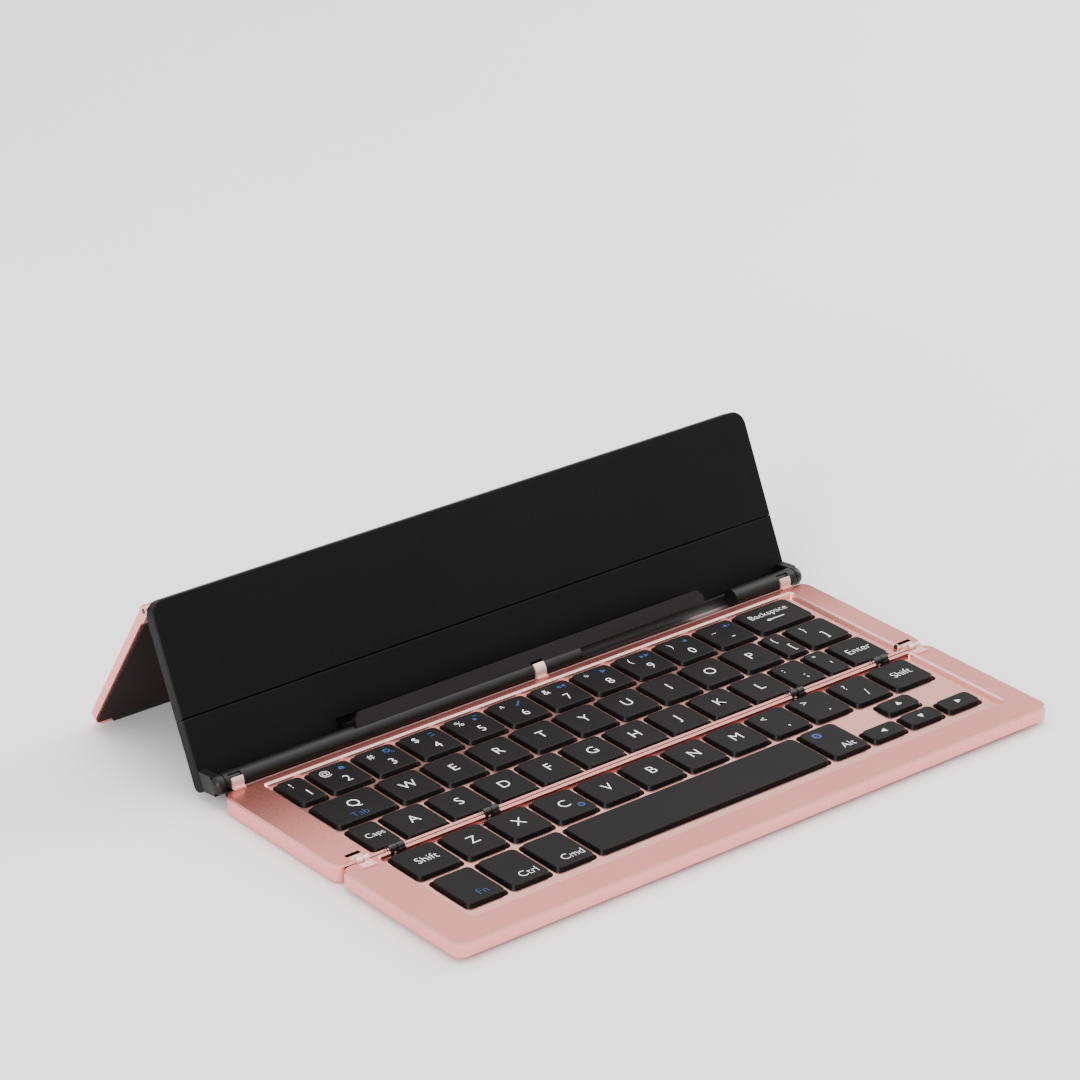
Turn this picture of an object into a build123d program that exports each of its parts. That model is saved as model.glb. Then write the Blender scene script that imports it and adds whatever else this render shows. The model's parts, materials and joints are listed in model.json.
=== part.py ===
from build123d import *
import os
from math import cos, radians, sin, tan

os.makedirs("parts", exist_ok=True)

# Bi-fold keyboard case for a tablet, opened flat, with its stand set up behind the keys.
# Millimetres. +X runs along the rows to the right, +Y from the space bar to the stand, +Z up.
# Every shape is drawn with y = 0 on the line where the two halves fold, then moved by FOLD_Y.

# ---- case ----
CASE_WIDTH = 260.0
REAR_DEPTH = 62.0
FRONT_DEPTH = 60.5
RIM_TOP = 6.8
REAR_UNDERSIDE = 0.6
FRONT_UNDERSIDE = 1.6
REAR_COVER_THICKNESS = 1.0
FRONT_COVER_THICKNESS = 0.6
CORNER_RADIUS = 4.0
FOLD_GAP = 0.35
FOLD_AXIS_Z = 6.95
LIP_WIDTH = 1.25

# ---- key well and deck ----
WELL_LEFT = -115.2
WELL_RIGHT = 120.0
REAR_WELL_BACK = 58.6
FRONT_WELL_FRONT = -48.6
DECK_TOP = 5.1
DECK_THICKNESS = 0.8
DECK_TUCK = 1.2
WELL_BEVEL = 0.6
WELL_CORNER = 1.5
FOLD_WALL = 0.9
OUTER_BEVEL = 0.5

# ---- keys ----
PITCH = 19.0
FIELD_LEFT = -113.9
KEY_GAP = 1.6
KEY_FOOT = 4.6
KEY_TOP = 6.5
KEY_TAPER = 27.0
KEY_CORNER = 2.2
KEY_CLEARANCE = 0.35
KEY_WALL = 3.2
KEY_HOLLOW = 0.9
PLUNGER_RADIUS = 1.6
NUMBER_ROW_Y = 49.0
UPPER_ROW_Y = 30.0
HOME_ROW_Y = 11.0
LOWER_ROW_Y = -11.4
SPACE_ROW_Y = -32.6
SPACE_ROW_DEPTH = 22.0
ARROW_DEPTH = 10.8
ARROW_WIDTH = 17.6
ARROW_ROW_STEP = 11.2

# ---- stand ----
BARREL_Y = 66.2
BARREL_Z = 7.8
BARREL_RADIUS = 3.4
BARREL_HALF_LENGTH = 130.9
BARREL_TIP = 2.4
KNUCKLE_START = 127.4
NOTCH_LEFT = 25.3
NOTCH_RIGHT = 97.9
AXLE_RADIUS = 1.5
AXLE_CLEARANCE = 0.05
AXLE_SOCKET = 12.0
STAND_TILT = 64.0
GUARD_OUTER = 5.3
GUARD_TOP_ANGLE = -6.0
GUARD_HALF_LENGTH = 126.0
CRADLE_OUTER = 6.6
CRADLE_BACK = 68.2
CRADLE_HALF_LENGTH = 124.0
SIDE_STRAP_TOP = 138.0
MIDDLE_STRAP_TOP = 118.0
STRAP_THICKNESS = 0.72
STRAP_HALF = 2.3
CLIP_RECESS = 0.5
CLIP_RECESS_ANGLE = 32.0
LEFT_CLIP_X = -123.0
MIDDLE_CLIP_X = 6.0
RIGHT_CLIP_X = 121.0
PANEL_HALF_WIDTH = 131.0
PANEL_OFFSET = 6.4
PANEL_THICKNESS = 4.0
PANEL_LOW = -1.5
PANEL_HEEL = 2.4
SEAL_TOP = 0.4
PANEL_SEAM = 23.0
PANEL_TOP = 63.0
PANEL_CORNER = 5.5
WEB_TOP = 5.6
LEDGE_LEFT = -72.0
LEDGE_RIGHT = 84.0
LEDGE_TOP = 7.4
LEDGE_FLOOR = 4.4
LEDGE_FRONT = 2.6
LEDGE_BACK = 5.9
LIP_THICKNESS = 1.7
LEDGE_ROOT = 1.8
SHELF_ROOT = 2.0
GRIP_THICKNESS = 0.5
REBATE_DEPTH = 2.1
REBATE_TOP = 6.6
REBATE_ROOM = 1.5

# ---- leg ----
LEG_PIN_UP = 60.5
LEG_THICKNESS = 4.2
LEG_GAP = 0.35
LEG_OPEN = 57.0
LEG_HALF_WIDTH = 130.0
LEG_LINER_THICKNESS = 0.8
LEG_PIN_RADIUS = 0.9
LEG_CORNER = 6.0
BRACKET_X = (123.0, 40.0)
BRACKET_WIDTH = 6.0
BRACKET_RADIUS = 1.7
HEAD_DEPTH = 4.6
FOOT_STRIP = 3.0
FOOT_STRIP_HALF = 122.0
STRIP_FLOOR = -0.9

# ---- sizes that follow ----
up = (cos(radians(STAND_TILT)), sin(radians(STAND_TILT)))
away = (sin(radians(STAND_TILT)), -cos(radians(STAND_TILT)))
leg_pin_back = PANEL_OFFSET + PANEL_THICKNESS + LEG_GAP + LEG_THICKNESS / 2
leg_pin_y = BARREL_Y + LEG_PIN_UP * up[0] + leg_pin_back * away[0]
leg_pin_z = BARREL_Z + LEG_PIN_UP * up[1] + leg_pin_back * away[1]
leg_fall = radians(180.0 - STAND_TILT - LEG_OPEN)
leg_length = (leg_pin_z - LEG_THICKNESS / 2 * cos(leg_fall)) / sin(leg_fall)
leg_foot_y = leg_pin_y + leg_length * cos(leg_fall) + LEG_THICKNESS / 2 * sin(leg_fall)
FOLD_Y = (FRONT_DEPTH - leg_foot_y) / 2


def save(name, *shapes):
    placed = [Pos(0, FOLD_Y, 0) * shape for shape in shapes]
    whole = placed[0] if len(placed) == 1 else Compound(children=placed)
    export_step(whole, f"parts/{name}.step")


def block(x_low, x_high, y_low, y_high, z_low, z_high):
    centre = Pos((x_low + x_high) / 2, (y_low + y_high) / 2, (z_low + z_high) / 2)
    return centre * Box(x_high - x_low, y_high - y_low, z_high - z_low)


def rounded_slab(x_low, x_high, y_low, y_high, z_low, z_high, radius):
    plan = Pos((x_low + x_high) / 2, (y_low + y_high) / 2, z_low)
    plan *= RectangleRounded(x_high - x_low, y_high - y_low, radius)
    return extrude(plan, z_high - z_low)


def upright(x, y, z_low, z_high, radius):
    return Pos(x, y, (z_low + z_high) / 2) * Cylinder(radius, z_high - z_low)


def along_x(x_low, x_high, y, z, radius):
    turned = Pos((x_low + x_high) / 2, y, z) * Rot(0, 90, 0)
    return turned * Cylinder(radius, x_high - x_low)


def on_stand(shape):
    """Carries a shape from the stand's own frame, where Y runs up the panel and Z towards the keys."""
    return Pos(0, BARREL_Y, BARREL_Z) * Rot(STAND_TILT, 0, 0) * shape


def on_leg(shape):
    """Carries a shape from the leg's frame, where Y runs from foot to pin and Z towards the panel."""
    return Pos(0, leg_pin_y, leg_pin_z) * Rot(STAND_TILT + LEG_OPEN, 0, 0) * shape


# ---- keys: one cell list per row, from left to right ----
def row_cells(names, widths, row_y, depth, start=FIELD_LEFT):
    cells = []
    x = start
    for name, width in zip(names, widths):
        cells.append((name, x, x + width, row_y - depth / 2, row_y + depth / 2))
        x += width
    return cells


def letters(count):
    return ["letter"] * count


number_cells = row_cells(letters(11) + ["backspace"], [12.8] + [PITCH] * 10 + [27.6], NUMBER_ROW_Y, PITCH)
upper_cells = row_cells(
    ["tab_q"] + letters(10) + ["bracket"], [26.8] + [PITCH] * 9 + [11.7, 20.9], UPPER_ROW_Y, PITCH
)
home_cells = row_cells(
    ["caps"] + letters(11) + ["enter"], [13.7] + [PITCH] * 9 + [15.8, 11.7, 18.2], HOME_ROW_Y, PITCH
)
lower_cells = row_cells(
    ["shift_left"] + letters(10) + ["shift_right"], [20.2] + [PITCH] * 10 + [20.2], LOWER_ROW_Y, PITCH
)
space_cells = row_cells(
    ["fn", "ctrl", "cmd", "space", "alt"], [18.3, 18.3, 18.3, 103.0, 18.4], SPACE_ROW_Y, SPACE_ROW_DEPTH,
    start=FIELD_LEFT + 1.2,
)
arrow_low_y = SPACE_ROW_Y - SPACE_ROW_DEPTH / 2 + ARROW_DEPTH / 2
arrow_start = space_cells[-1][2]
arrow_names = ["arrow_left", "arrow_down", "arrow_right"]
arrow_cells = row_cells(arrow_names, [ARROW_WIDTH] * 3, arrow_low_y, ARROW_DEPTH, start=arrow_start)
arrow_up_y = arrow_low_y + ARROW_ROW_STEP
middle_start = arrow_start + ARROW_WIDTH
arrow_cells += row_cells(["arrow_up"], [ARROW_WIDTH], arrow_up_y, ARROW_DEPTH, start=middle_start)
rear_cells = number_cells + upper_cells + home_cells
front_cells = lower_cells + space_cells + arrow_cells


def keycap(cell):
    _, x_low, x_high, y_low, y_high = cell
    plan = Pos((x_low + x_high) / 2, (y_low + y_high) / 2, KEY_FOOT)
    plan *= RectangleRounded(x_high - x_low - KEY_GAP, y_high - y_low - KEY_GAP, KEY_CORNER)
    cap = extrude(plan, KEY_TOP - KEY_FOOT, taper=KEY_TAPER)
    hollow_top = KEY_FOOT + KEY_HOLLOW
    hollow = block(
        x_low + KEY_WALL, x_high - KEY_WALL, y_low + KEY_WALL, y_high - KEY_WALL, KEY_FOOT, hollow_top
    )
    plunger = upright((x_low + x_high) / 2, (y_low + y_high) / 2, KEY_FOOT, hollow_top, PLUNGER_RADIUS)
    return cap - hollow + plunger


def make_keys():
    for cell in rear_cells + front_cells:
        if cell[0] != "letter" and cell[0] != "bracket":
            save("key_" + cell[0], keycap(cell))
    rows = {
        "number_row_keys": number_cells,
        "upper_row_keys": upper_cells,
        "home_row_keys": home_cells,
        "lower_row_keys": lower_cells,
    }
    for name, cells in rows.items():
        caps = [keycap(cell) for cell in cells if cell[0] in ("letter", "bracket")]
        save(name, *caps)


# ---- shells ----
END_HINGE_X = (-120.6, 124.0)
END_HINGE_HALF = 2.5
END_HINGE_BACK = 3.7
END_HINGE_FRONT = 5.2
KNUCKLE_RADIUS = 1.25
INNER_KNUCKLE_X = (-107.0, -68.2, 67.6, 107.6)
INNER_KNUCKLE_HALF = 3.0
INNER_KNUCKLE_REACH = 1.95
KNUCKLE_ROOM = 0.05
KNUCKLE_SPLIT = 0.15
HINGE_PIN_RADIUS = 0.5
HINGE_PIN_CLEARANCE = 0.04
SLOT_HALF = 2.9
SLOT_WIDTH = 1.6
SLOT_DEPTH = 1.6
LEAF_TAB_DEPTH = 0.9
LEAF_TAB_HEIGHT = 0.45
LEAF_START = 1.6
LEAF_DEPTH = 2.4
FLEX_HALF = 9.0
FLEX_Z = 3.0
FLEX_THICKNESS = 0.15
FLEX_REACH = 6.0
FLEX_SLOT_DEPTH = 3.0


def fold_cuts(side):
    """Room in a half for the hinges along the fold; side is +1 for the rear half and -1 for the front."""
    cuts = []
    reach = END_HINGE_BACK if side > 0 else END_HINGE_FRONT
    for x in END_HINGE_X:
        near, far = sorted((0.0, side * reach))
        low, high = x - END_HINGE_HALF, x + END_HINGE_HALF
        cuts.append(block(low, high, near, far, RIM_TOP - LEAF_DEPTH, RIM_TOP + 1))
    for x in INNER_KNUCKLE_X:
        near, far = sorted((0.0, side * INNER_KNUCKLE_REACH))
        half = INNER_KNUCKLE_HALF + KNUCKLE_ROOM
        cuts.append(block(x - half, x + half, near, far, DECK_TOP - DECK_THICKNESS, RIM_TOP + 1))
    near, far = sorted((0.0, side * FLEX_SLOT_DEPTH))
    cuts.append(block(-FLEX_HALF - 1, FLEX_HALF + 1, near, far, FLEX_Z - 0.3, FLEX_Z + 0.5))
    return cuts


def half_frame(y_low, y_high, well_y_low, well_y_high, z_low, side):
    frame = rounded_slab(-CASE_WIDTH / 2, CASE_WIDTH / 2, y_low, y_high, z_low, RIM_TOP, CORNER_RADIUS)
    frame = chamfer(frame.faces().sort_by(Axis.Z)[-1].edges(), OUTER_BEVEL)
    frame -= rounded_slab(WELL_LEFT, WELL_RIGHT, well_y_low, well_y_high, z_low, RIM_TOP + 1, WELL_CORNER)
    rim_edges = frame.faces().sort_by(Axis.Z)[-1].edges()
    within_x = rim_edges.filter_by_position(Axis.X, WELL_LEFT - 0.1, WELL_RIGHT + 0.1)
    well_rim = within_x.filter_by_position(Axis.Y, well_y_low - 0.1, well_y_high + 0.1)
    frame = chamfer(well_rim, WELL_BEVEL)
    seat = block(
        WELL_LEFT - DECK_TUCK, WELL_RIGHT + DECK_TUCK, max(y_low + FOLD_WALL, well_y_low - DECK_TUCK),
        min(y_high - FOLD_WALL, well_y_high + DECK_TUCK), z_low, DECK_TOP,
    )
    frame -= seat
    for cut in fold_cuts(side):
        frame -= cut
    return frame


def key_deck(cells, y_low, y_high, well_y_low, well_y_high, side):
    deck = block(
        WELL_LEFT - DECK_TUCK, WELL_RIGHT + DECK_TUCK, max(y_low + FOLD_WALL, well_y_low - DECK_TUCK),
        min(y_high - FOLD_WALL, well_y_high + DECK_TUCK), DECK_TOP - DECK_THICKNESS, DECK_TOP,
    )
    grow = KEY_CLEARANCE - KEY_GAP / 2
    windows = Sketch()
    for _, x_low, x_high, c_low, c_high in cells:
        window = Pos((x_low + x_high) / 2, (c_low + c_high) / 2)
        window *= RectangleRounded(x_high - x_low + 2 * grow, c_high - c_low + 2 * grow, KEY_CORNER)
        windows += window
    deck -= Pos(0, 0, DECK_TOP - 2 * DECK_THICKNESS) * extrude(windows, 3 * DECK_THICKNESS)
    for x in INNER_KNUCKLE_X:
        near, far = sorted((0.0, side * INNER_KNUCKLE_REACH))
        half = INNER_KNUCKLE_HALF + KNUCKLE_ROOM
        deck -= block(x - half, x + half, near, far, 0, RIM_TOP)
    return deck


SCREW_HEAD = 1.3
SCREW_SHANK = 0.6
SCREW_RECESS = 0.45
SCREW_SINK = 0.55
SCREW_REACH = 2.6


def bottom_cover(y_low, y_high, z_low, thickness, screws):
    z_high = z_low + thickness
    cover = rounded_slab(-CASE_WIDTH / 2, CASE_WIDTH / 2, y_low, y_high, z_low, z_high, CORNER_RADIUS)
    cover = fillet(cover.faces().sort_by(Axis.Z)[0].edges(), thickness * 0.8)
    for x, y in screws:
        cover -= upright(x, y, z_low - 1, z_high + 1, SCREW_SHANK + 0.1)
        cover -= upright(x, y, z_low - 1, z_low + thickness * SCREW_SINK, SCREW_HEAD + 0.15)
    return cover


def cover_screws(z_low, thickness, screws):
    built = []
    for x, y in screws:
        head_low = z_low + 0.08
        head = upright(x, y, head_low, z_low + thickness * SCREW_SINK, SCREW_HEAD)
        head -= upright(x, y, head_low - 1, head_low + thickness * 0.2, SCREW_RECESS)
        shank = upright(x, y, z_low + thickness * 0.4, z_low + thickness + SCREW_REACH, SCREW_SHANK)
        built.append(head + shank)
    return built


rear_screws = [(x, y) for x in (-126.0, 125.6) for y in (12.0, 57.5)] + [(-60.0, 60.6), (60.0, 60.6)]
front_screws = [(x, y) for x in (-126.0, 125.6) for y in (-12.0, -56.0)] + [(-60.0, -54.6), (60.0, -54.6)]
BATTERY_LEFT = -128.0
BATTERY_RIGHT = -118.2
BATTERY_FRONT = 14.0
BATTERY_BACK = 52.0
BATTERY_TOP = 5.0
BATTERY_ROOM = 0.3
BATTERY_CORNER = 1.2
BOARD_INSET = 3.4
BOARD_THICKNESS = 0.7
SHEET_THICKNESS = 0.3
SOCKET_WIDTH = 8.3
SOCKET_HEIGHT = 2.6
SOCKET_SHELL = 0.4
FOOT_X = 112.0
FOOT_LENGTH = 12.0
FOOT_WIDTH = 6.0
FOOT_CORNER = 2.5
PAD_RADIUS = 2.6
PAD_THICKNESS = 0.25
SOCKET_Y = 44.0
SWITCH_Y = 30.0
SWITCH_TRAVEL = 3.0
PORT_Z = 3.9
MAGNET_XS = (-126.2, 126.6)
MAGNET_IN = 7.4
MAGNET_LOW = 3.0
MAGNET_HEIGHT = 2.6
MAGNET_RADIUS = 1.8


def make_rear_half():
    y_low, y_high = FOLD_GAP, REAR_DEPTH
    well_low = FOLD_GAP + LIP_WIDTH
    wall_low = REAR_UNDERSIDE + REAR_COVER_THICKNESS
    frame = half_frame(y_low, y_high, well_low, REAR_WELL_BACK, wall_low, 1)
    for x in END_HINGE_X:
        slot_y = END_HINGE_BACK + 0.25
        low, high = x - SLOT_HALF, x + SLOT_HALF
        frame -= block(low, high, slot_y, slot_y + SLOT_WIDTH, RIM_TOP - SLOT_DEPTH, RIM_TOP + 1)
    for x, y in rear_screws:
        frame -= upright(x, y, wall_low - 1, wall_low + SCREW_REACH + 0.3, SCREW_SHANK + 0.02)
    for x in MAGNET_XS:
        frame -= upright(x, MAGNET_IN, MAGNET_LOW, MAGNET_LOW + MAGNET_HEIGHT, MAGNET_RADIUS + 0.02)
    battery_roof = BATTERY_TOP + 0.4
    frame -= block(BATTERY_LEFT, BATTERY_RIGHT, BATTERY_FRONT, BATTERY_BACK, wall_low, battery_roof)
    frame -= rounded_port(SOCKET_Y, SOCKET_WIDTH + 0.3, SOCKET_HEIGHT + 0.3, 121.9, CASE_WIDTH / 2 + 1)
    frame -= block(126.0, 128.9, SWITCH_Y - 4.2, SWITCH_Y + 4.2, PORT_Z - 1.3, PORT_Z + 1.3)
    frame -= block(128.0, CASE_WIDTH / 2 + 1, SWITCH_Y - 3.2, SWITCH_Y + 3.2, PORT_Z - 0.9, PORT_Z + 0.9)
    save("rear_top_frame", frame)
    save("rear_key_deck", key_deck(rear_cells, y_low, y_high, well_low, REAR_WELL_BACK, 1))
    cover = bottom_cover(y_low, y_high, REAR_UNDERSIDE, REAR_COVER_THICKNESS, rear_screws)
    save("rear_bottom_cover", cover)
    save("rear_cover_screws", *cover_screws(REAR_UNDERSIDE, REAR_COVER_THICKNESS, rear_screws))
    board_low = wall_low + 0.1
    board_top = board_low + BOARD_THICKNESS
    board = block(WELL_LEFT - 1, WELL_RIGHT + 1, BOARD_INSET, REAR_WELL_BACK - 0.4, board_low, board_top)
    save("rear_circuit_board", board)
    save("rear_switch_pads", *switch_pads(rear_cells, board_top))
    cell_left, cell_right = BATTERY_LEFT + BATTERY_ROOM, BATTERY_RIGHT - BATTERY_ROOM
    cell_front, cell_back = BATTERY_FRONT + BATTERY_ROOM, BATTERY_BACK - BATTERY_ROOM
    cell_body = rounded_slab(
        cell_left, cell_right, cell_front, cell_back, wall_low, BATTERY_TOP, BATTERY_CORNER
    )
    save("battery_cell", cell_body)
    shell = rounded_port(SOCKET_Y, SOCKET_WIDTH, SOCKET_HEIGHT, 122.1, 129.8)
    room_width, room_height = SOCKET_WIDTH - 2 * SOCKET_SHELL, SOCKET_HEIGHT - 2 * SOCKET_SHELL
    shell -= rounded_port(SOCKET_Y, room_width, room_height, 123.3, 131.0)
    tongue = block(122.5, 128.6, SOCKET_Y - 2.6, SOCKET_Y + 2.6, PORT_Z - 0.25, PORT_Z + 0.25)
    save("charging_socket", shell + tongue)
    knob_y = SWITCH_Y - SWITCH_TRAVEL / 2
    slider = block(126.4, 128.6, knob_y - 1.9, knob_y + 1.9, PORT_Z - 1.0, PORT_Z + 1.0)
    slider += block(128.6, 130.6, knob_y - 1.2, knob_y + 1.2, PORT_Z - 0.6, PORT_Z + 0.6)
    save("power_switch", slider)
    save("rear_feet", *rubber_feet((12.0, 52.0), REAR_UNDERSIDE))
    magnet_top = MAGNET_LOW + MAGNET_HEIGHT
    save("rear_magnets", *[upright(x, MAGNET_IN, MAGNET_LOW, magnet_top, MAGNET_RADIUS) for x in MAGNET_XS])


def rounded_port(y, width, height, x_low, x_high):
    """A charging port's stadium section, running along X."""
    plan = Plane.YZ.offset(x_low) * Pos(y, PORT_Z) * RectangleRounded(width, height, height * 0.49)
    return extrude(plan, x_high - x_low)


def switch_pads(cells, z_low):
    pads = []
    for _, x_low, x_high, c_low, c_high in cells:
        x, y = (x_low + x_high) / 2, (c_low + c_high) / 2
        pads.append(upright(x, y, z_low, z_low + PAD_THICKNESS, PAD_RADIUS))
    return pads


def rubber_feet(foot_ys, top):
    feet = []
    for x in (-FOOT_X, FOOT_X):
        for y in foot_ys:
            left, right = x - FOOT_LENGTH / 2, x + FOOT_LENGTH / 2
            front, back = y - FOOT_WIDTH / 2, y + FOOT_WIDTH / 2
            feet.append(rounded_slab(left, right, front, back, 0.0, top, FOOT_CORNER))
    return feet


def make_front_half():
    y_low, y_high = -FRONT_DEPTH, -FOLD_GAP
    well_high = -FOLD_GAP - LIP_WIDTH
    wall_low = FRONT_UNDERSIDE + FRONT_COVER_THICKNESS
    frame = half_frame(y_low, y_high, FRONT_WELL_FRONT, well_high, wall_low, -1)
    for x, y in front_screws:
        frame -= upright(x, y, wall_low - 1, wall_low + SCREW_REACH + 0.3, SCREW_SHANK + 0.02)
    for x in MAGNET_XS:
        frame -= upright(x, -MAGNET_IN, MAGNET_LOW, MAGNET_LOW + MAGNET_HEIGHT, MAGNET_RADIUS + 0.02)
    save("front_top_frame", frame)
    magnet_top = MAGNET_LOW + MAGNET_HEIGHT
    save("front_magnets", *[upright(x, -MAGNET_IN, MAGNET_LOW, magnet_top, MAGNET_RADIUS) for x in MAGNET_XS])
    save("front_key_deck", key_deck(front_cells, y_low, y_high, FRONT_WELL_FRONT, well_high, -1))
    cover = bottom_cover(y_low, y_high, FRONT_UNDERSIDE, FRONT_COVER_THICKNESS, front_screws)
    save("front_bottom_cover", cover)
    save("front_cover_screws", *cover_screws(FRONT_UNDERSIDE, FRONT_COVER_THICKNESS, front_screws))
    sheet_front = FRONT_WELL_FRONT + 0.4
    sheet_top = wall_low + SHEET_THICKNESS
    sheet = block(WELL_LEFT - 1, WELL_RIGHT + 1, sheet_front, -BOARD_INSET, wall_low, sheet_top)
    save("front_circuit_sheet", sheet + ribbon_tail(-1, sheet_top))
    save("front_switch_pads", *switch_pads(front_cells, sheet_top))
    save("front_feet", *rubber_feet((-12.0, -50.0), FRONT_UNDERSIDE))


# ---- hinges along the fold ----
def knuckle_run(x_low, x_high, radius, side, reach, floor_z, bore):
    """One hinge leaf: a round knuckle on the fold axis, running into a flat leaf on its own half."""
    near, far = sorted((0.0, side * reach))
    leaf = block(x_low, x_high, near, far, floor_z, RIM_TOP)
    low_edge, high_edge = sorted((-side, side * FOLD_GAP))
    leaf -= block(x_low - 1, x_high + 1, low_edge, high_edge, floor_z - 1, FOLD_AXIS_Z - radius)
    leaf += along_x(x_low, x_high, 0.0, FOLD_AXIS_Z, radius)
    return leaf - along_x(x_low - 1, x_high + 1, 0.0, FOLD_AXIS_Z, bore)


def make_fold_hinges():
    tight = HINGE_PIN_RADIUS + 0.01
    loose = HINGE_PIN_RADIUS + HINGE_PIN_CLEARANCE
    rear_leaves, front_leaves, pins = [], [], []
    for x in END_HINGE_X:
        low, high = x - END_HINGE_HALF, x + END_HINGE_HALF
        floor_z = RIM_TOP - LEAF_DEPTH
        rear = knuckle_run(low, x - KNUCKLE_SPLIT, KNUCKLE_RADIUS, 1, END_HINGE_BACK, floor_z, tight)
        rear_leaves.append(rear + block(low, high, LEAF_START, END_HINGE_BACK, floor_z, RIM_TOP))
        front = knuckle_run(x + KNUCKLE_SPLIT, high, KNUCKLE_RADIUS, -1, END_HINGE_FRONT, floor_z, loose)
        front += block(low, high, -END_HINGE_FRONT, -LEAF_START, floor_z, RIM_TOP)
        tab_back = -END_HINGE_FRONT + LEAF_TAB_DEPTH
        front += block(low, high, -END_HINGE_FRONT, tab_back, RIM_TOP - 0.5, RIM_TOP + LEAF_TAB_HEIGHT)
        front_leaves.append(front)
        pins.append(along_x(low, high, 0.0, FOLD_AXIS_Z, HINGE_PIN_RADIUS))
    save("rear_hinge_leaves", *rear_leaves)
    save("front_hinge_leaves", *front_leaves)
    rear_knuckles, front_knuckles = [], []
    for x in INNER_KNUCKLE_X:
        low, high = x - INNER_KNUCKLE_HALF, x + INNER_KNUCKLE_HALF
        floor_z = DECK_TOP - DECK_THICKNESS
        rear_knuckles.append(
            knuckle_run(low, x - KNUCKLE_SPLIT, KNUCKLE_RADIUS, 1, INNER_KNUCKLE_REACH, floor_z, tight)
        )
        front_knuckles.append(
            knuckle_run(x + KNUCKLE_SPLIT, high, KNUCKLE_RADIUS, -1, INNER_KNUCKLE_REACH, floor_z, loose)
        )
        pins.append(along_x(low, high, 0.0, FOLD_AXIS_Z, HINGE_PIN_RADIUS))
    save("rear_hinge_knuckles", *rear_knuckles)
    save("front_hinge_knuckles", *front_knuckles)
    save("fold_hinge_pins", *pins)
    save("ribbon_tail", ribbon_tail(1, REAR_UNDERSIDE + REAR_COVER_THICKNESS + 0.1 + BOARD_THICKNESS))


def ribbon_tail(side, board_top):
    """The strip that carries the key lines from a circuit board to the fold."""
    near, far = sorted((side * 0.05, side * FLEX_REACH))
    strip = block(-FLEX_HALF, FLEX_HALF, near, far, FLEX_Z, FLEX_Z + FLEX_THICKNESS)
    near, far = sorted((side * (FLEX_REACH - 0.6), side * FLEX_REACH))
    return strip + block(-FLEX_HALF, FLEX_HALF, near, far, board_top, FLEX_Z)


# ---- stand ----
def spine_bar(x_low, x_high, bore_side, clips):
    bar = along_x(x_low, x_high, BARREL_Y, BARREL_Z, BARREL_RADIUS)
    end = x_low if bore_side < 0 else x_high
    bore_end = end - bore_side * AXLE_SOCKET
    low, high = sorted((bore_end, end + bore_side))
    bar -= along_x(low, high, BARREL_Y, BARREL_Z, AXLE_RADIUS + 0.01)
    for x, top_angle in clips:
        recess_start = top_angle - CLIP_RECESS_ANGLE
        inner, outer = BARREL_RADIUS - CLIP_RECESS, BARREL_RADIUS + CLIP_RECESS
        bar -= ring_sector(x, STRAP_HALF + 0.3, inner, outer, recess_start, top_angle)
    return bar


def ring_sector(x, half, inner, outer, low_angle, high_angle):
    """Part of a ring round the spine axis, between two angles from level at the back."""
    reach = 3 * outer
    middle = (low_angle + high_angle) / 2
    corners = [(reach * cos(radians(a)), reach * sin(radians(a))) for a in (low_angle, middle, high_angle)]
    wedge = make_face(Polyline((0, 0), *corners, (0, 0)))
    sector = Plane.YZ * ((Circle(outer) - Circle(inner)) & wedge)
    return Pos(x, BARREL_Y, BARREL_Z) * extrude(sector, half, both=True)


def make_spine():
    inner = BARREL_RADIUS + 0.35
    cradle_room = Pos((REAR_DEPTH + CRADLE_BACK) / 2, (1.0 + RIM_TOP) / 2)
    cradle_room *= Rectangle(CRADLE_BACK - REAR_DEPTH, RIM_TOP - 1.0)
    cradle_profile = Plane.YZ * (Pos(BARREL_Y, BARREL_Z) * Circle(CRADLE_OUTER) & cradle_room)
    cradle_profile -= Plane.YZ * Pos(BARREL_Y, BARREL_Z) * Circle(inner)
    cradle = extrude(cradle_profile, CRADLE_HALF_LENGTH, both=True)
    save("spine_cradle", cradle.solids().sort_by(SortBy.VOLUME)[-1])
    guard_ring = Circle(GUARD_OUTER) - Circle(inner)
    guard_start = CRADLE_BACK - BARREL_Y + 0.05
    top = (12, 12 * tan(radians(GUARD_TOP_ANGLE)))
    guard_wedge = make_face(Polyline((0, 0), top, (12, -40), (guard_start, -40), (guard_start, -1), (0, 0)))
    guard = extrude(Plane.YZ * (guard_ring & guard_wedge), GUARD_HALF_LENGTH, both=True)
    save("spine_guard", Pos(0, BARREL_Y, BARREL_Z) * guard)
    long_clips = [(LEFT_CLIP_X, SIDE_STRAP_TOP), (MIDDLE_CLIP_X, MIDDLE_STRAP_TOP)]
    short_clips = [(RIGHT_CLIP_X, SIDE_STRAP_TOP)]
    save("spine_bar_long", spine_bar(-KNUCKLE_START + 0.4, NOTCH_LEFT, -1, long_clips))
    save("spine_bar_short", spine_bar(NOTCH_RIGHT, KNUCKLE_START - 0.4, 1, short_clips))
    axle_in = KNUCKLE_START - AXLE_SOCKET
    axle_out = BARREL_HALF_LENGTH - 1.3
    axles = [
        along_x(low, high, BARREL_Y, BARREL_Z, AXLE_RADIUS)
        for low, high in ((-axle_out, -axle_in), (axle_in, axle_out))
    ]
    save("stand_axles", *axles)
    save("hinge_straps", *[hinge_strap(x, top_angle) for x, top_angle in long_clips + short_clips])


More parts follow.
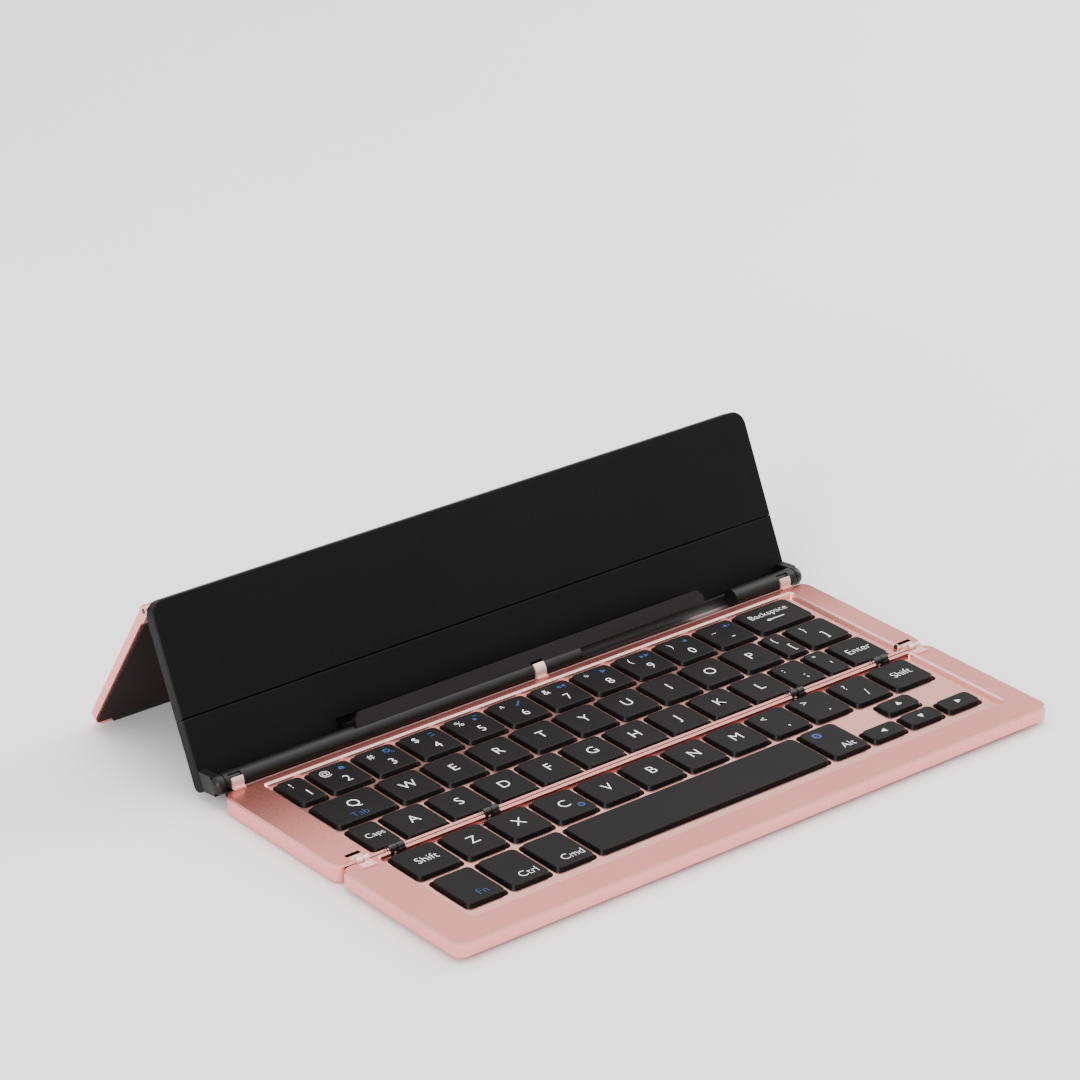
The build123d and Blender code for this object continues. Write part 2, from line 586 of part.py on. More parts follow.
def hinge_strap(x, top_angle):
    """A thin clip from the rear rim up round the front of the spine bar, to top_angle from level."""
    inner = BARREL_RADIUS + 0.03
    band = ring_sector(x, STRAP_HALF, inner, inner + STRAP_THICKNESS, top_angle, 193.5)
    back = BARREL_Y - BARREL_RADIUS + 0.2
    tab = block(x - STRAP_HALF, x + STRAP_HALF, 61.0, back, RIM_TOP, RIM_TOP + 0.55)
    tab -= along_x(x - STRAP_HALF - 1, x + STRAP_HALF + 1, BARREL_Y, BARREL_Z, inner)
    return band + tab


def ledge_profile():
    lip_mid = LEDGE_FRONT - LIP_THICKNESS / 2
    lip = Pos((LEDGE_TOP + LEDGE_ROOT) / 2, lip_mid) * Rectangle(LEDGE_TOP - LEDGE_ROOT, LIP_THICKNESS)
    floor_span = LEDGE_FRONT + LEDGE_BACK
    shelf = Pos((LEDGE_FLOOR + SHELF_ROOT) / 2, (LEDGE_FRONT - LEDGE_BACK) / 2)
    shelf *= Rectangle(LEDGE_FLOOR - SHELF_ROOT, floor_span)
    return lip + shelf - Circle(BARREL_RADIUS + 0.03)


def make_ledge():
    length = LEDGE_RIGHT - LEDGE_LEFT
    profile = Plane.YZ.offset(LEDGE_LEFT) * ledge_profile()
    ledge = extrude(profile, length)
    for x, turn in ((LEDGE_LEFT, 45), (LEDGE_RIGHT, -45)):
        ledge -= Pos(x, LEDGE_TOP + 0.6, 0) * Rot(0, 0, turn) * Box(4.0, 4.0, 30.0)
    ledge = ledge.solids().sort_by(SortBy.VOLUME)[-1]
    room_half = STRAP_HALF + 0.3
    strap_room = along_x(MIDDLE_CLIP_X - room_half, MIDDLE_CLIP_X + room_half, 0, 0, BARREL_RADIUS + 0.85)
    save("tablet_ledge", on_stand(ledge - strap_room))
    grip_top = LEDGE_FLOOR + GRIP_THICKNESS
    grip = block(LEDGE_LEFT + 4, LEDGE_RIGHT - 4, LEDGE_FLOOR, grip_top, -LEDGE_BACK + 0.4, 0.4)
    save("ledge_grip", on_stand(grip))


def panel_plate(low, high, round_top):
    back = -PANEL_OFFSET - PANEL_THICKNESS
    plate = block(-PANEL_HALF_WIDTH, PANEL_HALF_WIDTH, low, high, back, -PANEL_OFFSET)
    corners = plate.edges().filter_by(Axis.Z).group_by(Axis.Y)[-1 if round_top else 0]
    if round_top:
        plate = fillet(corners, PANEL_CORNER)
    else:
        heel = plate.faces().sort_by(Axis.Y)[0].edges().sort_by(Axis.Z)[0]
        plate = fillet(heel, PANEL_HEEL)
    return chamfer(plate.faces().sort_by(Axis.Z)[-1].edges(), 0.4)


def make_panel():
    lower = panel_plate(PANEL_LOW, PANEL_SEAM, False)
    rebate_back = -PANEL_OFFSET - REBATE_DEPTH
    left, right = LEDGE_LEFT - REBATE_ROOM, LEDGE_RIGHT + REBATE_ROOM
    lower -= block(left, right, PANEL_LOW - 1, REBATE_TOP, rebate_back, -PANEL_OFFSET + 1)
    seal_front = -GUARD_OUTER - 0.3
    for x_low, x_high in ((1.0 - KNUCKLE_START, left), (right, KNUCKLE_START - 1.0)):
        lower += block(x_low, x_high, PANEL_LOW + 0.4, SEAL_TOP, -PANEL_OFFSET - 0.5, seal_front)
    save("stand_lower_panel", on_stand(lower))
    upper = panel_plate(PANEL_SEAM + 0.15, PANEL_TOP, True)
    save("stand_upper_panel", on_stand(upper))
    knuckles = []
    for side in (-1, 1):
        low, high = sorted((side * KNUCKLE_START, side * BARREL_HALF_LENGTH))
        ring = along_x(low, high, 0, 0, BARREL_RADIUS)
        tip = ring.faces().sort_by(Axis.X)[-1 if side > 0 else 0]
        ring = fillet(tip.edges(), BARREL_TIP)
        low, high = sorted((side * KNUCKLE_START, side * (PANEL_HALF_WIDTH - 0.4)))
        web_start, web_end = (BARREL_RADIUS, 0), (-BARREL_RADIUS, 0)
        on_panel = [(WEB_TOP, -PANEL_OFFSET), (PANEL_LOW + 0.4, -PANEL_OFFSET)]
        outline = Polyline(web_start, *on_panel, web_end, web_start)
        web = extrude(Plane.YZ.offset(low) * make_face(outline), high - low)
        bore_low, bore_high = sorted((side * (KNUCKLE_START - 1), side * (BARREL_HALF_LENGTH - 0.9)))
        bore = along_x(bore_low, bore_high, 0, 0, AXLE_RADIUS + AXLE_CLEARANCE)
        knuckles.append(on_stand(ring + web - bore))
    save("panel_knuckles", *knuckles)
    brackets = []
    pins = []
    for side in (-1, 1):
        for x in BRACKET_X:
            low, high = sorted((side * x, side * (x - BRACKET_WIDTH)))
            panel_back = -PANEL_OFFSET - PANEL_THICKNESS
            arm_low, arm_high = LEG_PIN_UP - BRACKET_RADIUS, LEG_PIN_UP + BRACKET_RADIUS
            arm = block(low, high, arm_low, arm_high, -leg_pin_back - 0.2, panel_back)
            arm += along_x(low, high, LEG_PIN_UP, -leg_pin_back, BRACKET_RADIUS)
            arm -= along_x(low - 1, high + 1, LEG_PIN_UP, -leg_pin_back, LEG_PIN_RADIUS + 0.01)
            brackets.append(on_stand(arm))
            pin_low, pin_high = leg_pin_span(side, x)
            pins.append(on_stand(along_x(pin_low, pin_high, LEG_PIN_UP, -leg_pin_back, LEG_PIN_RADIUS)))
    save("leg_brackets", *brackets)
    save("leg_pins", *pins)


def leg_pin_span(side, x):
    """A leg pin's two ends; the outer pins show as dark dots in the leg's ends."""
    outer = LEG_HALF_WIDTH - 0.05 if x == BRACKET_X[0] else x + 3.0
    return sorted((side * outer, side * (x - BRACKET_WIDTH - 3.0)))


def make_leg():
    half = LEG_THICKNESS / 2
    outer_plate = block(-LEG_HALF_WIDTH, LEG_HALF_WIDTH, -leg_length, 0, -half, half - LEG_LINER_THICKNESS)
    feet_edges = outer_plate.edges().filter_by(Axis.Z).group_by(Axis.Y)[0]
    plate = fillet(feet_edges, LEG_CORNER)
    foot_and_sides = plate.faces().sort_by(Axis.Z)[0].edges().sort_by(Axis.Y)[:-1]
    plate = chamfer(foot_and_sides, 0.5)
    liner_half = LEG_HALF_WIDTH - 1.2
    liner_low = -leg_length + FOOT_STRIP + 0.1
    liner_top = -HEAD_DEPTH - 0.4
    liner = block(-liner_half, liner_half, liner_low, liner_top, half - LEG_LINER_THICKNESS, half)
    plate += block(-LEG_HALF_WIDTH, LEG_HALF_WIDTH, -HEAD_DEPTH, 0, half - LEG_LINER_THICKNESS, half)
    plate += along_x(-LEG_HALF_WIDTH, LEG_HALF_WIDTH, 0, 0, half)
    for side in (-1, 1):
        for x in BRACKET_X:
            low, high = sorted((side * x, side * (x - BRACKET_WIDTH)))
            plate -= block(low - 0.4, high + 0.4, -2.9, half + 1, -half - 1, half + 1)
            pin_low, pin_high = leg_pin_span(side, x)
            plate -= along_x(pin_low - 0.2, pin_high + 0.2, 0, 0, LEG_PIN_RADIUS + AXLE_CLEARANCE)
    strip_top = -leg_length + FOOT_STRIP
    plate -= block(-FOOT_STRIP_HALF, FOOT_STRIP_HALF, -leg_length - 1, strip_top, STRIP_FLOOR, half + 1)
    save("leg_plate", on_leg(plate))
    save("leg_liner", on_leg(liner))
    strip_half = FOOT_STRIP_HALF - 0.1
    strip = block(-strip_half, strip_half, -leg_length, strip_top, STRIP_FLOOR, half)
    save("leg_foot_strip", on_leg(strip))


make_keys()
make_rear_half()
make_front_half()
make_fold_hinges()
make_spine()
make_ledge()
make_panel()
make_leg()
print("fold line at y =", round(FOLD_Y, 4))
print("leg length", round(leg_length, 3), "foot y", round(leg_foot_y, 3))
print("leg pin", round(leg_pin_y + FOLD_Y, 4), round(leg_pin_z, 4))
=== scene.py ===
import json
from math import cos, pi, radians, sin, tan

import bpy
from mathutils import Matrix, Vector

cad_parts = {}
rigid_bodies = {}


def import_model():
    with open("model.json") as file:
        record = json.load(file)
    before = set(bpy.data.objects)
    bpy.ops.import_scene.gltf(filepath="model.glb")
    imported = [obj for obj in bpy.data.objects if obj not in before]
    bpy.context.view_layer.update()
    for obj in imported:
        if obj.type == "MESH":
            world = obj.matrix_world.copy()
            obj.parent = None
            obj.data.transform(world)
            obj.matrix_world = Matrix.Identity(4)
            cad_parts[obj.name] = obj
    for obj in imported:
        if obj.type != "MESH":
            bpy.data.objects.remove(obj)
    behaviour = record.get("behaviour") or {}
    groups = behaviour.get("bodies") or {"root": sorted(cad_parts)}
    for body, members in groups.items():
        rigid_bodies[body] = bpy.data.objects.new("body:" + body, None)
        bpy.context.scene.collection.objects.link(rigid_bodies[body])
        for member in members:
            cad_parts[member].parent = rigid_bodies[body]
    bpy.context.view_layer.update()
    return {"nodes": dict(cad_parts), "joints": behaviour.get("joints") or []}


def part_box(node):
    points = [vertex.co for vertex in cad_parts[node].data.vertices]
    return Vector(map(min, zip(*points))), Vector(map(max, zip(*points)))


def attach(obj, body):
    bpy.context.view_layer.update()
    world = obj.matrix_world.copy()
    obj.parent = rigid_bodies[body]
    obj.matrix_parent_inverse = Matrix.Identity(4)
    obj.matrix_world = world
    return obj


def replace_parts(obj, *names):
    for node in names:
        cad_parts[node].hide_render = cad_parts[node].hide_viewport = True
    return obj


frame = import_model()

MM = 0.001
nodes = frame["nodes"]


# ---------------------------------------------------------------- places read from the frame
def low(node):
    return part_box(node)[0]


def high(node):
    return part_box(node)[1]


joint_at = {j["name"]: Vector(j["pos_m"]) for j in frame["joints"] if "pos_m" in j}
fold_line = joint_at["front_half_fold"]
barrel_axis = joint_at["stand_tilt"]
leg_axis = joint_at["leg_fold"]
STAND_TILT = radians(64.0)
LEG_OPEN = radians(57.0)
stand_place = Matrix.Translation((0.0, barrel_axis.y, barrel_axis.z)) @ Matrix.Rotation(STAND_TILT, 4, "X")
leg_place = Matrix.Translation((0.0, leg_axis.y, leg_axis.z)) @ Matrix.Rotation(STAND_TILT + LEG_OPEN, 4, "X")
KEY_FOOT = low("key_space").z
KEY_TOP = high("key_space").z
KEY_GAP = 1.6 * MM
KEY_TAPER = radians(27.0)
FIELD_LEFT = low("key_tab_q").x - KEY_GAP / 2


# ---------------------------------------------------------------- camera, lights, floor
CAMERA_PLACE = (-0.8253, fold_line.y - 0.9056, 0.6595)
CAMERA_TURN = radians(-40.59)
CAMERA_DIP = radians(25.21)
CAMERA_ROLL = radians(1.28)
CAMERA_LENS = 138.7
HORIZON_GREY = 0.3
DOME_STRENGTH = 1.6
LIT_PLACE = (0.0, 0.0, 0.02)


def set_camera():
    camera = bpy.data.objects.new("camera", bpy.data.cameras.new("camera"))
    bpy.context.scene.collection.objects.link(camera)
    camera.data.lens = CAMERA_LENS
    camera.data.sensor_width = 36.0
    camera.data.clip_end = 50.0
    turn = Matrix.Rotation(CAMERA_TURN, 4, "Z") @ Matrix.Rotation(pi / 2 - CAMERA_DIP, 4, "X")
    camera.matrix_world = Matrix.Translation(CAMERA_PLACE) @ turn @ Matrix.Rotation(CAMERA_ROLL, 4, "Z")
    bpy.context.scene.camera = camera


def softbox(name, place, size, watts):
    """A soft rectangular lamp turned to the middle of the case."""
    light = bpy.data.objects.new(name, bpy.data.lights.new(name, "AREA"))
    bpy.context.scene.collection.objects.link(light)
    light.data.shape = "RECTANGLE"
    light.data.size, light.data.size_y = size
    light.data.energy = watts
    light.location = place
    light.rotation_euler = (Vector(LIT_PLACE) - Vector(place)).to_track_quat("-Z", "Y").to_euler()


def set_studio():
    """A dome that is grey at the horizon and white overhead, and three soft lamps."""
    world = bpy.data.worlds.new("studio")
    bpy.context.scene.world = world
    world.use_nodes = True
    tree = world.node_tree
    direction = tree.nodes.new("ShaderNodeTexCoord")
    height = tree.nodes.new("ShaderNodeSeparateXYZ")
    dome = tree.nodes.new("ShaderNodeValToRGB")
    tree.links.new(direction.outputs["Generated"], height.inputs["Vector"])
    tree.links.new(height.outputs["Z"], dome.inputs["Fac"])
    tree.links.new(dome.outputs["Color"], tree.nodes["Background"].inputs["Color"])
    for stop, (place, grey) in zip(dome.color_ramp.elements, ((0.25, HORIZON_GREY), (0.5, 1.0))):
        stop.position = place
        stop.color = (grey, grey, grey, 1.0)
    tree.nodes["Background"].inputs["Strength"].default_value = DOME_STRENGTH
    softbox("overhead_softbox", (0.2, 0.2, 1.3), (1.4, 1.0), 12.0)
    softbox("left_softbox", (-1.3, -0.6, 0.55), (0.5, 0.7), 16.0)
    softbox("right_softbox", (1.3, 0.1, 0.5), (0.5, 0.7), 12.0)


# ---------------------------------------------------------------- shader workshop
class Wire:
    """One value on its way through a finish; sums on it add the nodes that work them out."""

    def __init__(self, finish, socket):
        self.finish = finish
        self.socket = socket

    def _sum(self, operation, first, second):
        return self.finish.node("ShaderNodeMath", {"operation": operation}, {0: first, 1: second})

    def __add__(self, other):
        return self._sum("ADD", self, other)

    __radd__ = __add__

    def __sub__(self, other):
        return self._sum("SUBTRACT", self, other)

    def __rsub__(self, other):
        return self._sum("SUBTRACT", other, self)

    def __mul__(self, other):
        return self._sum("MULTIPLY", self, other)

    __rmul__ = __mul__

    def __gt__(self, other):
        return self._sum("GREATER_THAN", self, other)

    def __lt__(self, other):
        return self._sum("LESS_THAN", self, other)


class Finish:
    """A material under construction, with one shader that its builder fills in."""

    def __init__(self, name, **constants):
        self.material = bpy.data.materials.new(name)
        self.material.use_nodes = True
        self.tree = self.material.node_tree
        self.shader = self.tree.nodes["Principled BSDF"]
        self.where = self.node("ShaderNodeTexCoord", output="Object")
        for socket, value in constants.items():
            self.shader.inputs[socket.replace("_", " ")].default_value = value

    def node(self, kind, settings=None, values=None, output=0):
        made = self.tree.nodes.new(kind)
        for key, value in (settings or {}).items():
            if key == "stops":
                self._fill_ramp(made.color_ramp, value)
            else:
                setattr(made, key, value)
        for key, value in (values or {}).items():
            if isinstance(value, Wire):
                self.tree.links.new(value.socket, made.inputs[key])
            else:
                made.inputs[key].default_value = value
        return Wire(self, made.outputs[output])

    @staticmethod
    def _fill_ramp(ramp, stops):
        for stop, (place, colour) in zip(ramp.elements, stops):
            stop.position = place
            stop.color = (*colour, 1.0)
        for place, colour in stops[2:]:
            ramp.elements.new(place).color = (*colour, 1.0)

    def feed(self, socket, wire):
        self.tree.links.new(wire.socket, self.shader.inputs[socket])

    def noise(self, scale, detail=3.0, roughness=0.5, stretch=None):
        where = self.where
        if stretch:
            where = self.node("ShaderNodeMapping", None, {"Vector": where, "Scale": stretch})
        values = {"Vector": where, "Scale": scale, "Detail": detail, "Roughness": roughness}
        return self.node("ShaderNodeTexNoise", None, values, "Fac")

    def cells(self, scale):
        return self.node("ShaderNodeTexVoronoi", None, {"Vector": self.where, "Scale": scale}, "Distance")

    def ramp(self, wire, *stops):
        return self.node("ShaderNodeValToRGB", {"stops": stops}, {"Fac": wire})

    def mixed(self, amount, first, second):
        values = {"Factor": amount, 6: first, 7: second}
        return self.node("ShaderNodeMix", {"data_type": "RGBA"}, values, 2)

    def axis(self, letter):
        return self.node("ShaderNodeSeparateXYZ", None, {"Vector": self.where}, letter)

    def own_normal(self, letter):
        normal = self.node("ShaderNodeNewGeometry", output="True Normal")
        settings = {"vector_type": "NORMAL", "convert_from": "WORLD", "convert_to": "OBJECT"}
        own = self.node("ShaderNodeVectorTransform", settings, {"Vector": normal})
        return self.node("ShaderNodeSeparateXYZ", None, {"Vector": own}, letter)

    def bump(self, height, strength, depth):
        values = {"Height": height, "Strength": strength, "Distance": depth}
        self.feed("Normal", self.node("ShaderNodeBump", None, values))


def rgb(red, green, blue):
    """A paint-chart colour, 0 to 255, as the linear colour that the shader takes."""
    parts = [value / 255.0 for value in (red, green, blue)]
    return tuple(p / 12.92 if p <= 0.04045 else ((p + 0.055) / 1.055) ** 2.4 for p in parts)


def rgba(red, green, blue):
    return (*rgb(red, green, blue), 1.0)


# ---------------------------------------------------------------- finishes
ROSE_LIGHT = (240, 153, 143)
ROSE_DARK = (232, 144, 135)
# lighter, pinker rose for upright sides: painted reflection of the bright floor
ROSE_SIDE_REFLECTION = (241, 154, 150)
# lighter rose for the frame chamfers: painted highlight
ROSE_BEVEL_HIGHLIGHT = (240, 166, 156)
# pale rose round the key well: painted highlight
ROSE_WELL_HIGHLIGHT = (251, 206, 196)
# dark red for the upright faces at the fold: painted shade of the gap between the halves
ROSE_FOLD_SHADE = (122, 60, 56)
# dark rose behind the rear edge: painted shade and reflection of the stand
ROSE_REAR_SHADE = (88, 48, 44)
# near-black red in the hinge slots: painted shade
ROSE_SLOT_SHADE = (70, 26, 24)


def rose_blast(f):
    """Bead-blasted aluminium dyed rose, its upright sides a lighter, pinker rose as painted reflection of the
    bright floor; gives the slope, the sides and the colour.
    """
    drift = f.noise(22.0, 4.0)
    grain = f.noise(5200.0, 2.0)
    face = f.ramp(drift * 0.75 + grain * 0.25, (0.3, rgb(*ROSE_DARK)), (0.7, rgb(*ROSE_LIGHT)))
    slope = f.own_normal("Z")
    upright = (slope < 0.3) * (slope > -0.3)
    f.feed("Roughness", f.noise(900.0, 2.0) * 0.08 + f.noise(14.0, 3.0) * 0.05 + 0.2)
    f.bump(grain, 0.1, 0.00004)
    # upright sides keep the rose dye but turn lighter and pinker: painted reflection of the bright floor
    return slope, upright, f.mixed(upright, face, rgba(*ROSE_SIDE_REFLECTION))


def rose_shell():
    """The covers and the leg: blasted rose all over, with the painted floor reflection on their upright sides.
    """
    f = Finish("rose_shell", Metallic=0.85)
    _, _, body = rose_blast(f)
    f.feed("Base Color", body)
    return f.material


def polished_rose():
    """The deck under the keys: rose dye on a sheet polished before dyeing, so the caps mirror in it."""
    f = Finish("rose_deck", Metallic=0.85)
    drift = f.noise(30.0, 3.0)
    hairline = f.noise(900.0, 2.0, stretch=(0.1, 4.0, 1.0))
    sheen = drift * 0.6 + hairline * 0.4
    f.feed("Base Color", f.ramp(sheen, (0.3, rgb(236, 163, 152)), (0.7, rgb(242, 173, 162))))
    f.feed("Roughness", hairline * 0.06 + drift * 0.04 + 0.05)
    f.bump(hairline, 0.04, 0.00002)
    return f.material


# painted shade and reflection of the stand on the rear rim: where it starts behind the fold, how far it takes
# to deepen, and its darkest tint
STAND_SHADE_START = 36.0 * MM
STAND_SHADE_REACH = 25.0 * MM
STAND_SHADE_TINT = (196, 176, 176)
RIM_TOP = 6.8 * MM
DECK_TOP = 5.1 * MM
LIP = 2.2 * MM
REAR_EDGE = 61.45 * MM
WELL_BACK = 58.6 * MM
WELL_FRONT = -48.6 * MM
WELL_ROOM = 0.7 * MM
SLOT_FRONT = 3.9 * MM
SLOT_BACK = 5.6 * MM
SLOT_FLOOR = 5.15 * MM
SLOT_CEILING = RIM_TOP - 0.05 * MM
SLOT_NEAR = 117.6 * MM
SLOT_FAR = 127.0 * MM


def rose_frame():
    """The case frames: blasted rose, with painted highlight on the chamfers and round the key well, painted
    shade and reflection of the stand along the rear rim, and painted shade on the rear edge, the fold faces and
    the hinge slots.
    """
    f = Finish("rose_frame", Metallic=0.85)
    slope, upright, body = rose_blast(f)
    bevel = (slope > 0.35) * (slope < 0.95)
    across, back, height = f.axis("X"), f.axis("Y") - fold_line.y, f.axis("Z")
    # chamfers take a lighter rose: painted highlight
    body = f.mixed(bevel, body, rgba(*ROSE_BEVEL_HIGHLIGHT))
    # painted shade and reflection of the stand: the rear rim's top darkens towards the back
    reach = (back - STAND_SHADE_START) * (1.0 / STAND_SHADE_REACH)
    stand_shade = f.ramp(reach, (0.0, rgb(255, 255, 255)), (1.0, rgb(*STAND_SHADE_TINT)))
    settings = {"data_type": "RGBA", "blend_type": "MULTIPLY"}
    stand_shade_share = 1.0 - upright * (back < REAR_EDGE)
    body = f.node("ShaderNodeMix", settings, {"Factor": stand_shade_share, 6: body, 7: stand_shade}, 2)
    # everything behind the rear edge: painted shade and reflection of the stand
    body = f.mixed(back > REAR_EDGE, body, rgba(*ROSE_REAR_SHADE))
    # upright faces at the fold: painted shade of the gap between the halves; it stays when the case is closed
    fold = upright * (back * back < LIP * LIP) * (across * across < SLOT_FAR * SLOT_FAR)
    body = f.mixed(fold, body, rgba(*ROSE_FOLD_SHADE))
    # walls and chamfers round the key well, above the deck: painted highlight, marked by the cut mask
    inside = (across > low("rear_key_deck").x) * (across < high("rear_key_deck").x)
    inside = inside * (back < WELL_BACK + WELL_ROOM) * (back > WELL_FRONT - WELL_ROOM)
    cut = inside * (upright + bevel) * (height > DECK_TOP) * (back * back > LIP * LIP)
    body = f.mixed(cut, body, rgba(*ROSE_WELL_HIGHLIGHT))
    # frame faces inside the hinge slots: painted shade, marked by the slot mask
    slot = (back > SLOT_FRONT) * (back < SLOT_BACK) * (height > SLOT_FLOOR) * (height < SLOT_CEILING)
    within = (across * across > SLOT_NEAR * SLOT_NEAR) * (across * across < SLOT_FAR * SLOT_FAR)
    f.feed("Base Color", f.mixed(slot * within, body, rgba(*ROSE_SLOT_SHADE)))
    return f.material


def shaded_trough():
    """The scoop behind the rim: painted shade and reflection, rose at its lip and dark towards the bar that
    lies in it.
    """
    f = Finish("shaded_trough", Metallic=0.7)
    grain = f.noise(4200.0, 2.0)
    depth = (f.axis("Z") - 0.0030) * 260.0 + grain * 0.08
    stops = ((0.0, rgb(8, 8, 8)), (1.0, rgb(222, 168, 158)), (0.25, rgb(58, 53, 52)), (0.6, rgb(150, 130, 126)))
    f.feed("Base Color", f.ramp(depth, *stops))
    f.feed("Roughness", grain * 0.1 + 0.26)
    return f.material


def satin_clip():
    """Bent spring strip, dyed to match and left lighter than the case."""
    f = Finish("satin_clip", Metallic=0.75)
    brushed = f.noise(420.0, 3.0, 0.6, stretch=(0.15, 6.0, 1.0))
    f.feed("Base Color", f.ramp(brushed, (0.25, rgb(242, 190, 181)), (0.8, rgb(252, 210, 202))))
    f.feed("Roughness", brushed * 0.12 + 0.36)
    f.bump(brushed, 0.1, 0.00003)
    return f.material


def gold_contact():
    f = Finish("gold_contact", Metallic=1.0)
    scuff = f.noise(3000.0, 2.0)
    f.feed("Base Color", f.ramp(scuff, (0.3, rgb(196, 150, 60)), (0.8, rgb(236, 196, 104))))
    f.feed("Roughness", scuff * 0.2 + 0.2)
    return f.material


CAP_FACE = 0.08 * MM
CAP_EDGE = 0.4 * MM


def keycap_black():
    """Matt moulded caps: fine grain on the tops, smoother and darker walls, edges a little polished by use."""
    f = Finish("keycap_black", Specular_IOR_Level=0.14)
    height = f.axis("Z")
    top = height > KEY_TOP - CAP_FACE
    rim = (height > KEY_TOP - CAP_EDGE) * (1.0 - top)
    grain = f.noise(2600.0, 3.0, 0.6)
    smudge = f.noise(48.0, 3.0)
    face = f.ramp(smudge * 0.7 + grain * 0.3, (0.3, rgb(12, 10, 10)), (0.75, rgb(19, 16, 16)))
    wall = f.ramp(grain, (0.3, rgb(6, 5, 5)), (0.8, rgb(13, 11, 11)))
    edge = f.mixed(rim, wall, rgba(22, 20, 20))
    f.feed("Base Color", f.mixed(top, edge, face))
    f.feed("Roughness", 0.34 + top * 0.12 + smudge * 0.1)
    f.bump(grain, 0.22, 0.00003)
    return f.material


def ink(name, colour, worn):
    f = Finish(name)
    wear = f.noise(1400.0, 3.0, 0.65)
    f.feed("Base Color", f.ramp(wear, (0.3, rgb(*worn)), (0.55, rgb(*colour))))
    f.feed("Roughness", wear * 0.2 + 0.38)
    f.bump(wear, 0.08, 0.00002)
    return f.material


def stand_black(name, tone=(11, 10, 10), roughness=0.38):
    """Satin board with a fine leather-like grain and faint handling marks."""
    f = Finish(name, Specular_IOR_Level=0.13)
    pebble = f.cells(1500.0)
    grain = f.noise(3400.0, 2.0)
    smudge = f.noise(9.0, 4.0, 0.6)
    deep = tuple(max(part - 7, 3) for part in tone)
    f.feed("Base Color", f.ramp(smudge * 0.6 + pebble * 0.5, (0.25, rgb(*deep)), (0.8, rgb(*tone))))
    f.feed("Roughness", smudge * 0.16 + roughness)
    f.bump(pebble + grain * 0.4, 0.2, 0.00004)
    return f.material


def barrel_black(name, tone=(17, 15, 15)):
    """Black anodised extrusion with fine lines drawn along its length."""
    f = Finish(name, Metallic=0.2, Specular_IOR_Level=0.4)
    drawn = f.noise(700.0, 3.0, 0.6, stretch=(0.04, 5.0, 5.0))
    haze = f.noise(30.0, 3.0)
    deep = tuple(max(part - 6, 3) for part in tone)
    f.feed("Base Color", f.ramp(drawn * 0.5 + haze * 0.5, (0.3, rgb(*deep)), (0.75, rgb(*tone))))
    f.feed("Roughness", drawn * 0.12 + haze * 0.08 + 0.32)
    f.bump(drawn, 0.14, 0.00003)
    return f.material


def moulded_black():
    f = Finish("moulded_black")
    grain = f.noise(2400.0, 3.0)
    f.feed("Base Color", f.ramp(grain, (0.3, rgb(12, 11, 11)), (0.8, rgb(27, 25, 25))))
    f.feed("Roughness", grain * 0.15 + 0.34)
    f.bump(grain, 0.2, 0.00003)
    return f.material


def plain_steel():
    f = Finish("plain_steel", Metallic=1.0)
    turned = f.noise(1500.0, 3.0, 0.6, stretch=(1.0, 0.2, 0.2))
    f.feed("Base Color", f.ramp(turned, (0.3, rgb(168, 166, 164)), (0.8, rgb(214, 212, 210))))
    f.feed("Roughness", turned * 0.2 + 0.18)
    f.bump(turned, 0.1, 0.00002)
    return f.material


def matt_rubber():
    f = Finish("matt_rubber", Specular_IOR_Level=0.3)
    pores = f.cells(2600.0)
    dust = f.noise(160.0, 4.0, 0.65)
    f.feed("Base Color", f.ramp(dust, (0.35, rgb(26, 25, 25)), (0.85, rgb(48, 46, 45))))
    f.feed("Roughness", dust * 0.2 + 0.68)
    f.bump(pores, 0.25, 0.00004)
    return f.material


def board_green():
    f = Finish("board_green", Coat_Weight=0.4)
    tracks = f.cells(420.0)
    f.feed("Base Color", f.ramp(tracks, (0.1, rgb(24, 92, 52)), (0.6, rgb(14, 58, 34))))
    f.feed("Roughness", tracks * 0.2 + 0.3)
    f.bump(tracks, 0.2, 0.00003)
    return f.material


def amber_film():
    f = Finish("amber_film")
    wires = f.node("ShaderNodeTexWave", {"bands_direction": "X"}, {"Vector": f.where, "Scale": 500.0}, "Fac")
    f.feed("Base Color", f.ramp(wires, (0.3, rgb(150, 88, 24)), (0.7, rgb(206, 140, 60))))
    f.feed("Roughness", wires * 0.2 + 0.25)
    return f.material


def foil_pouch():
    f = Finish("foil_pouch", Metallic=0.8)
    crinkle = f.noise(260.0, 4.0, 0.6)
    f.feed("Base Color", f.ramp(crinkle, (0.3, rgb(150, 152, 156)), (0.8, rgb(196, 198, 202))))
    f.feed("Roughness", crinkle * 0.3 + 0.3)
    f.bump(crinkle, 0.3, 0.0001)
    return f.material


def pale_floor():
    f = Finish("pale_floor", Specular_IOR_Level=0.2)
    cloud = f.noise(3.0, 2.0)
    f.feed("Base Color", f.ramp(cloud, (0.2, rgb(244, 243, 243)), (0.9, rgb(250, 249, 249))))
    f.feed("Roughness", cloud * 0.1 + 0.7)
    return f.material


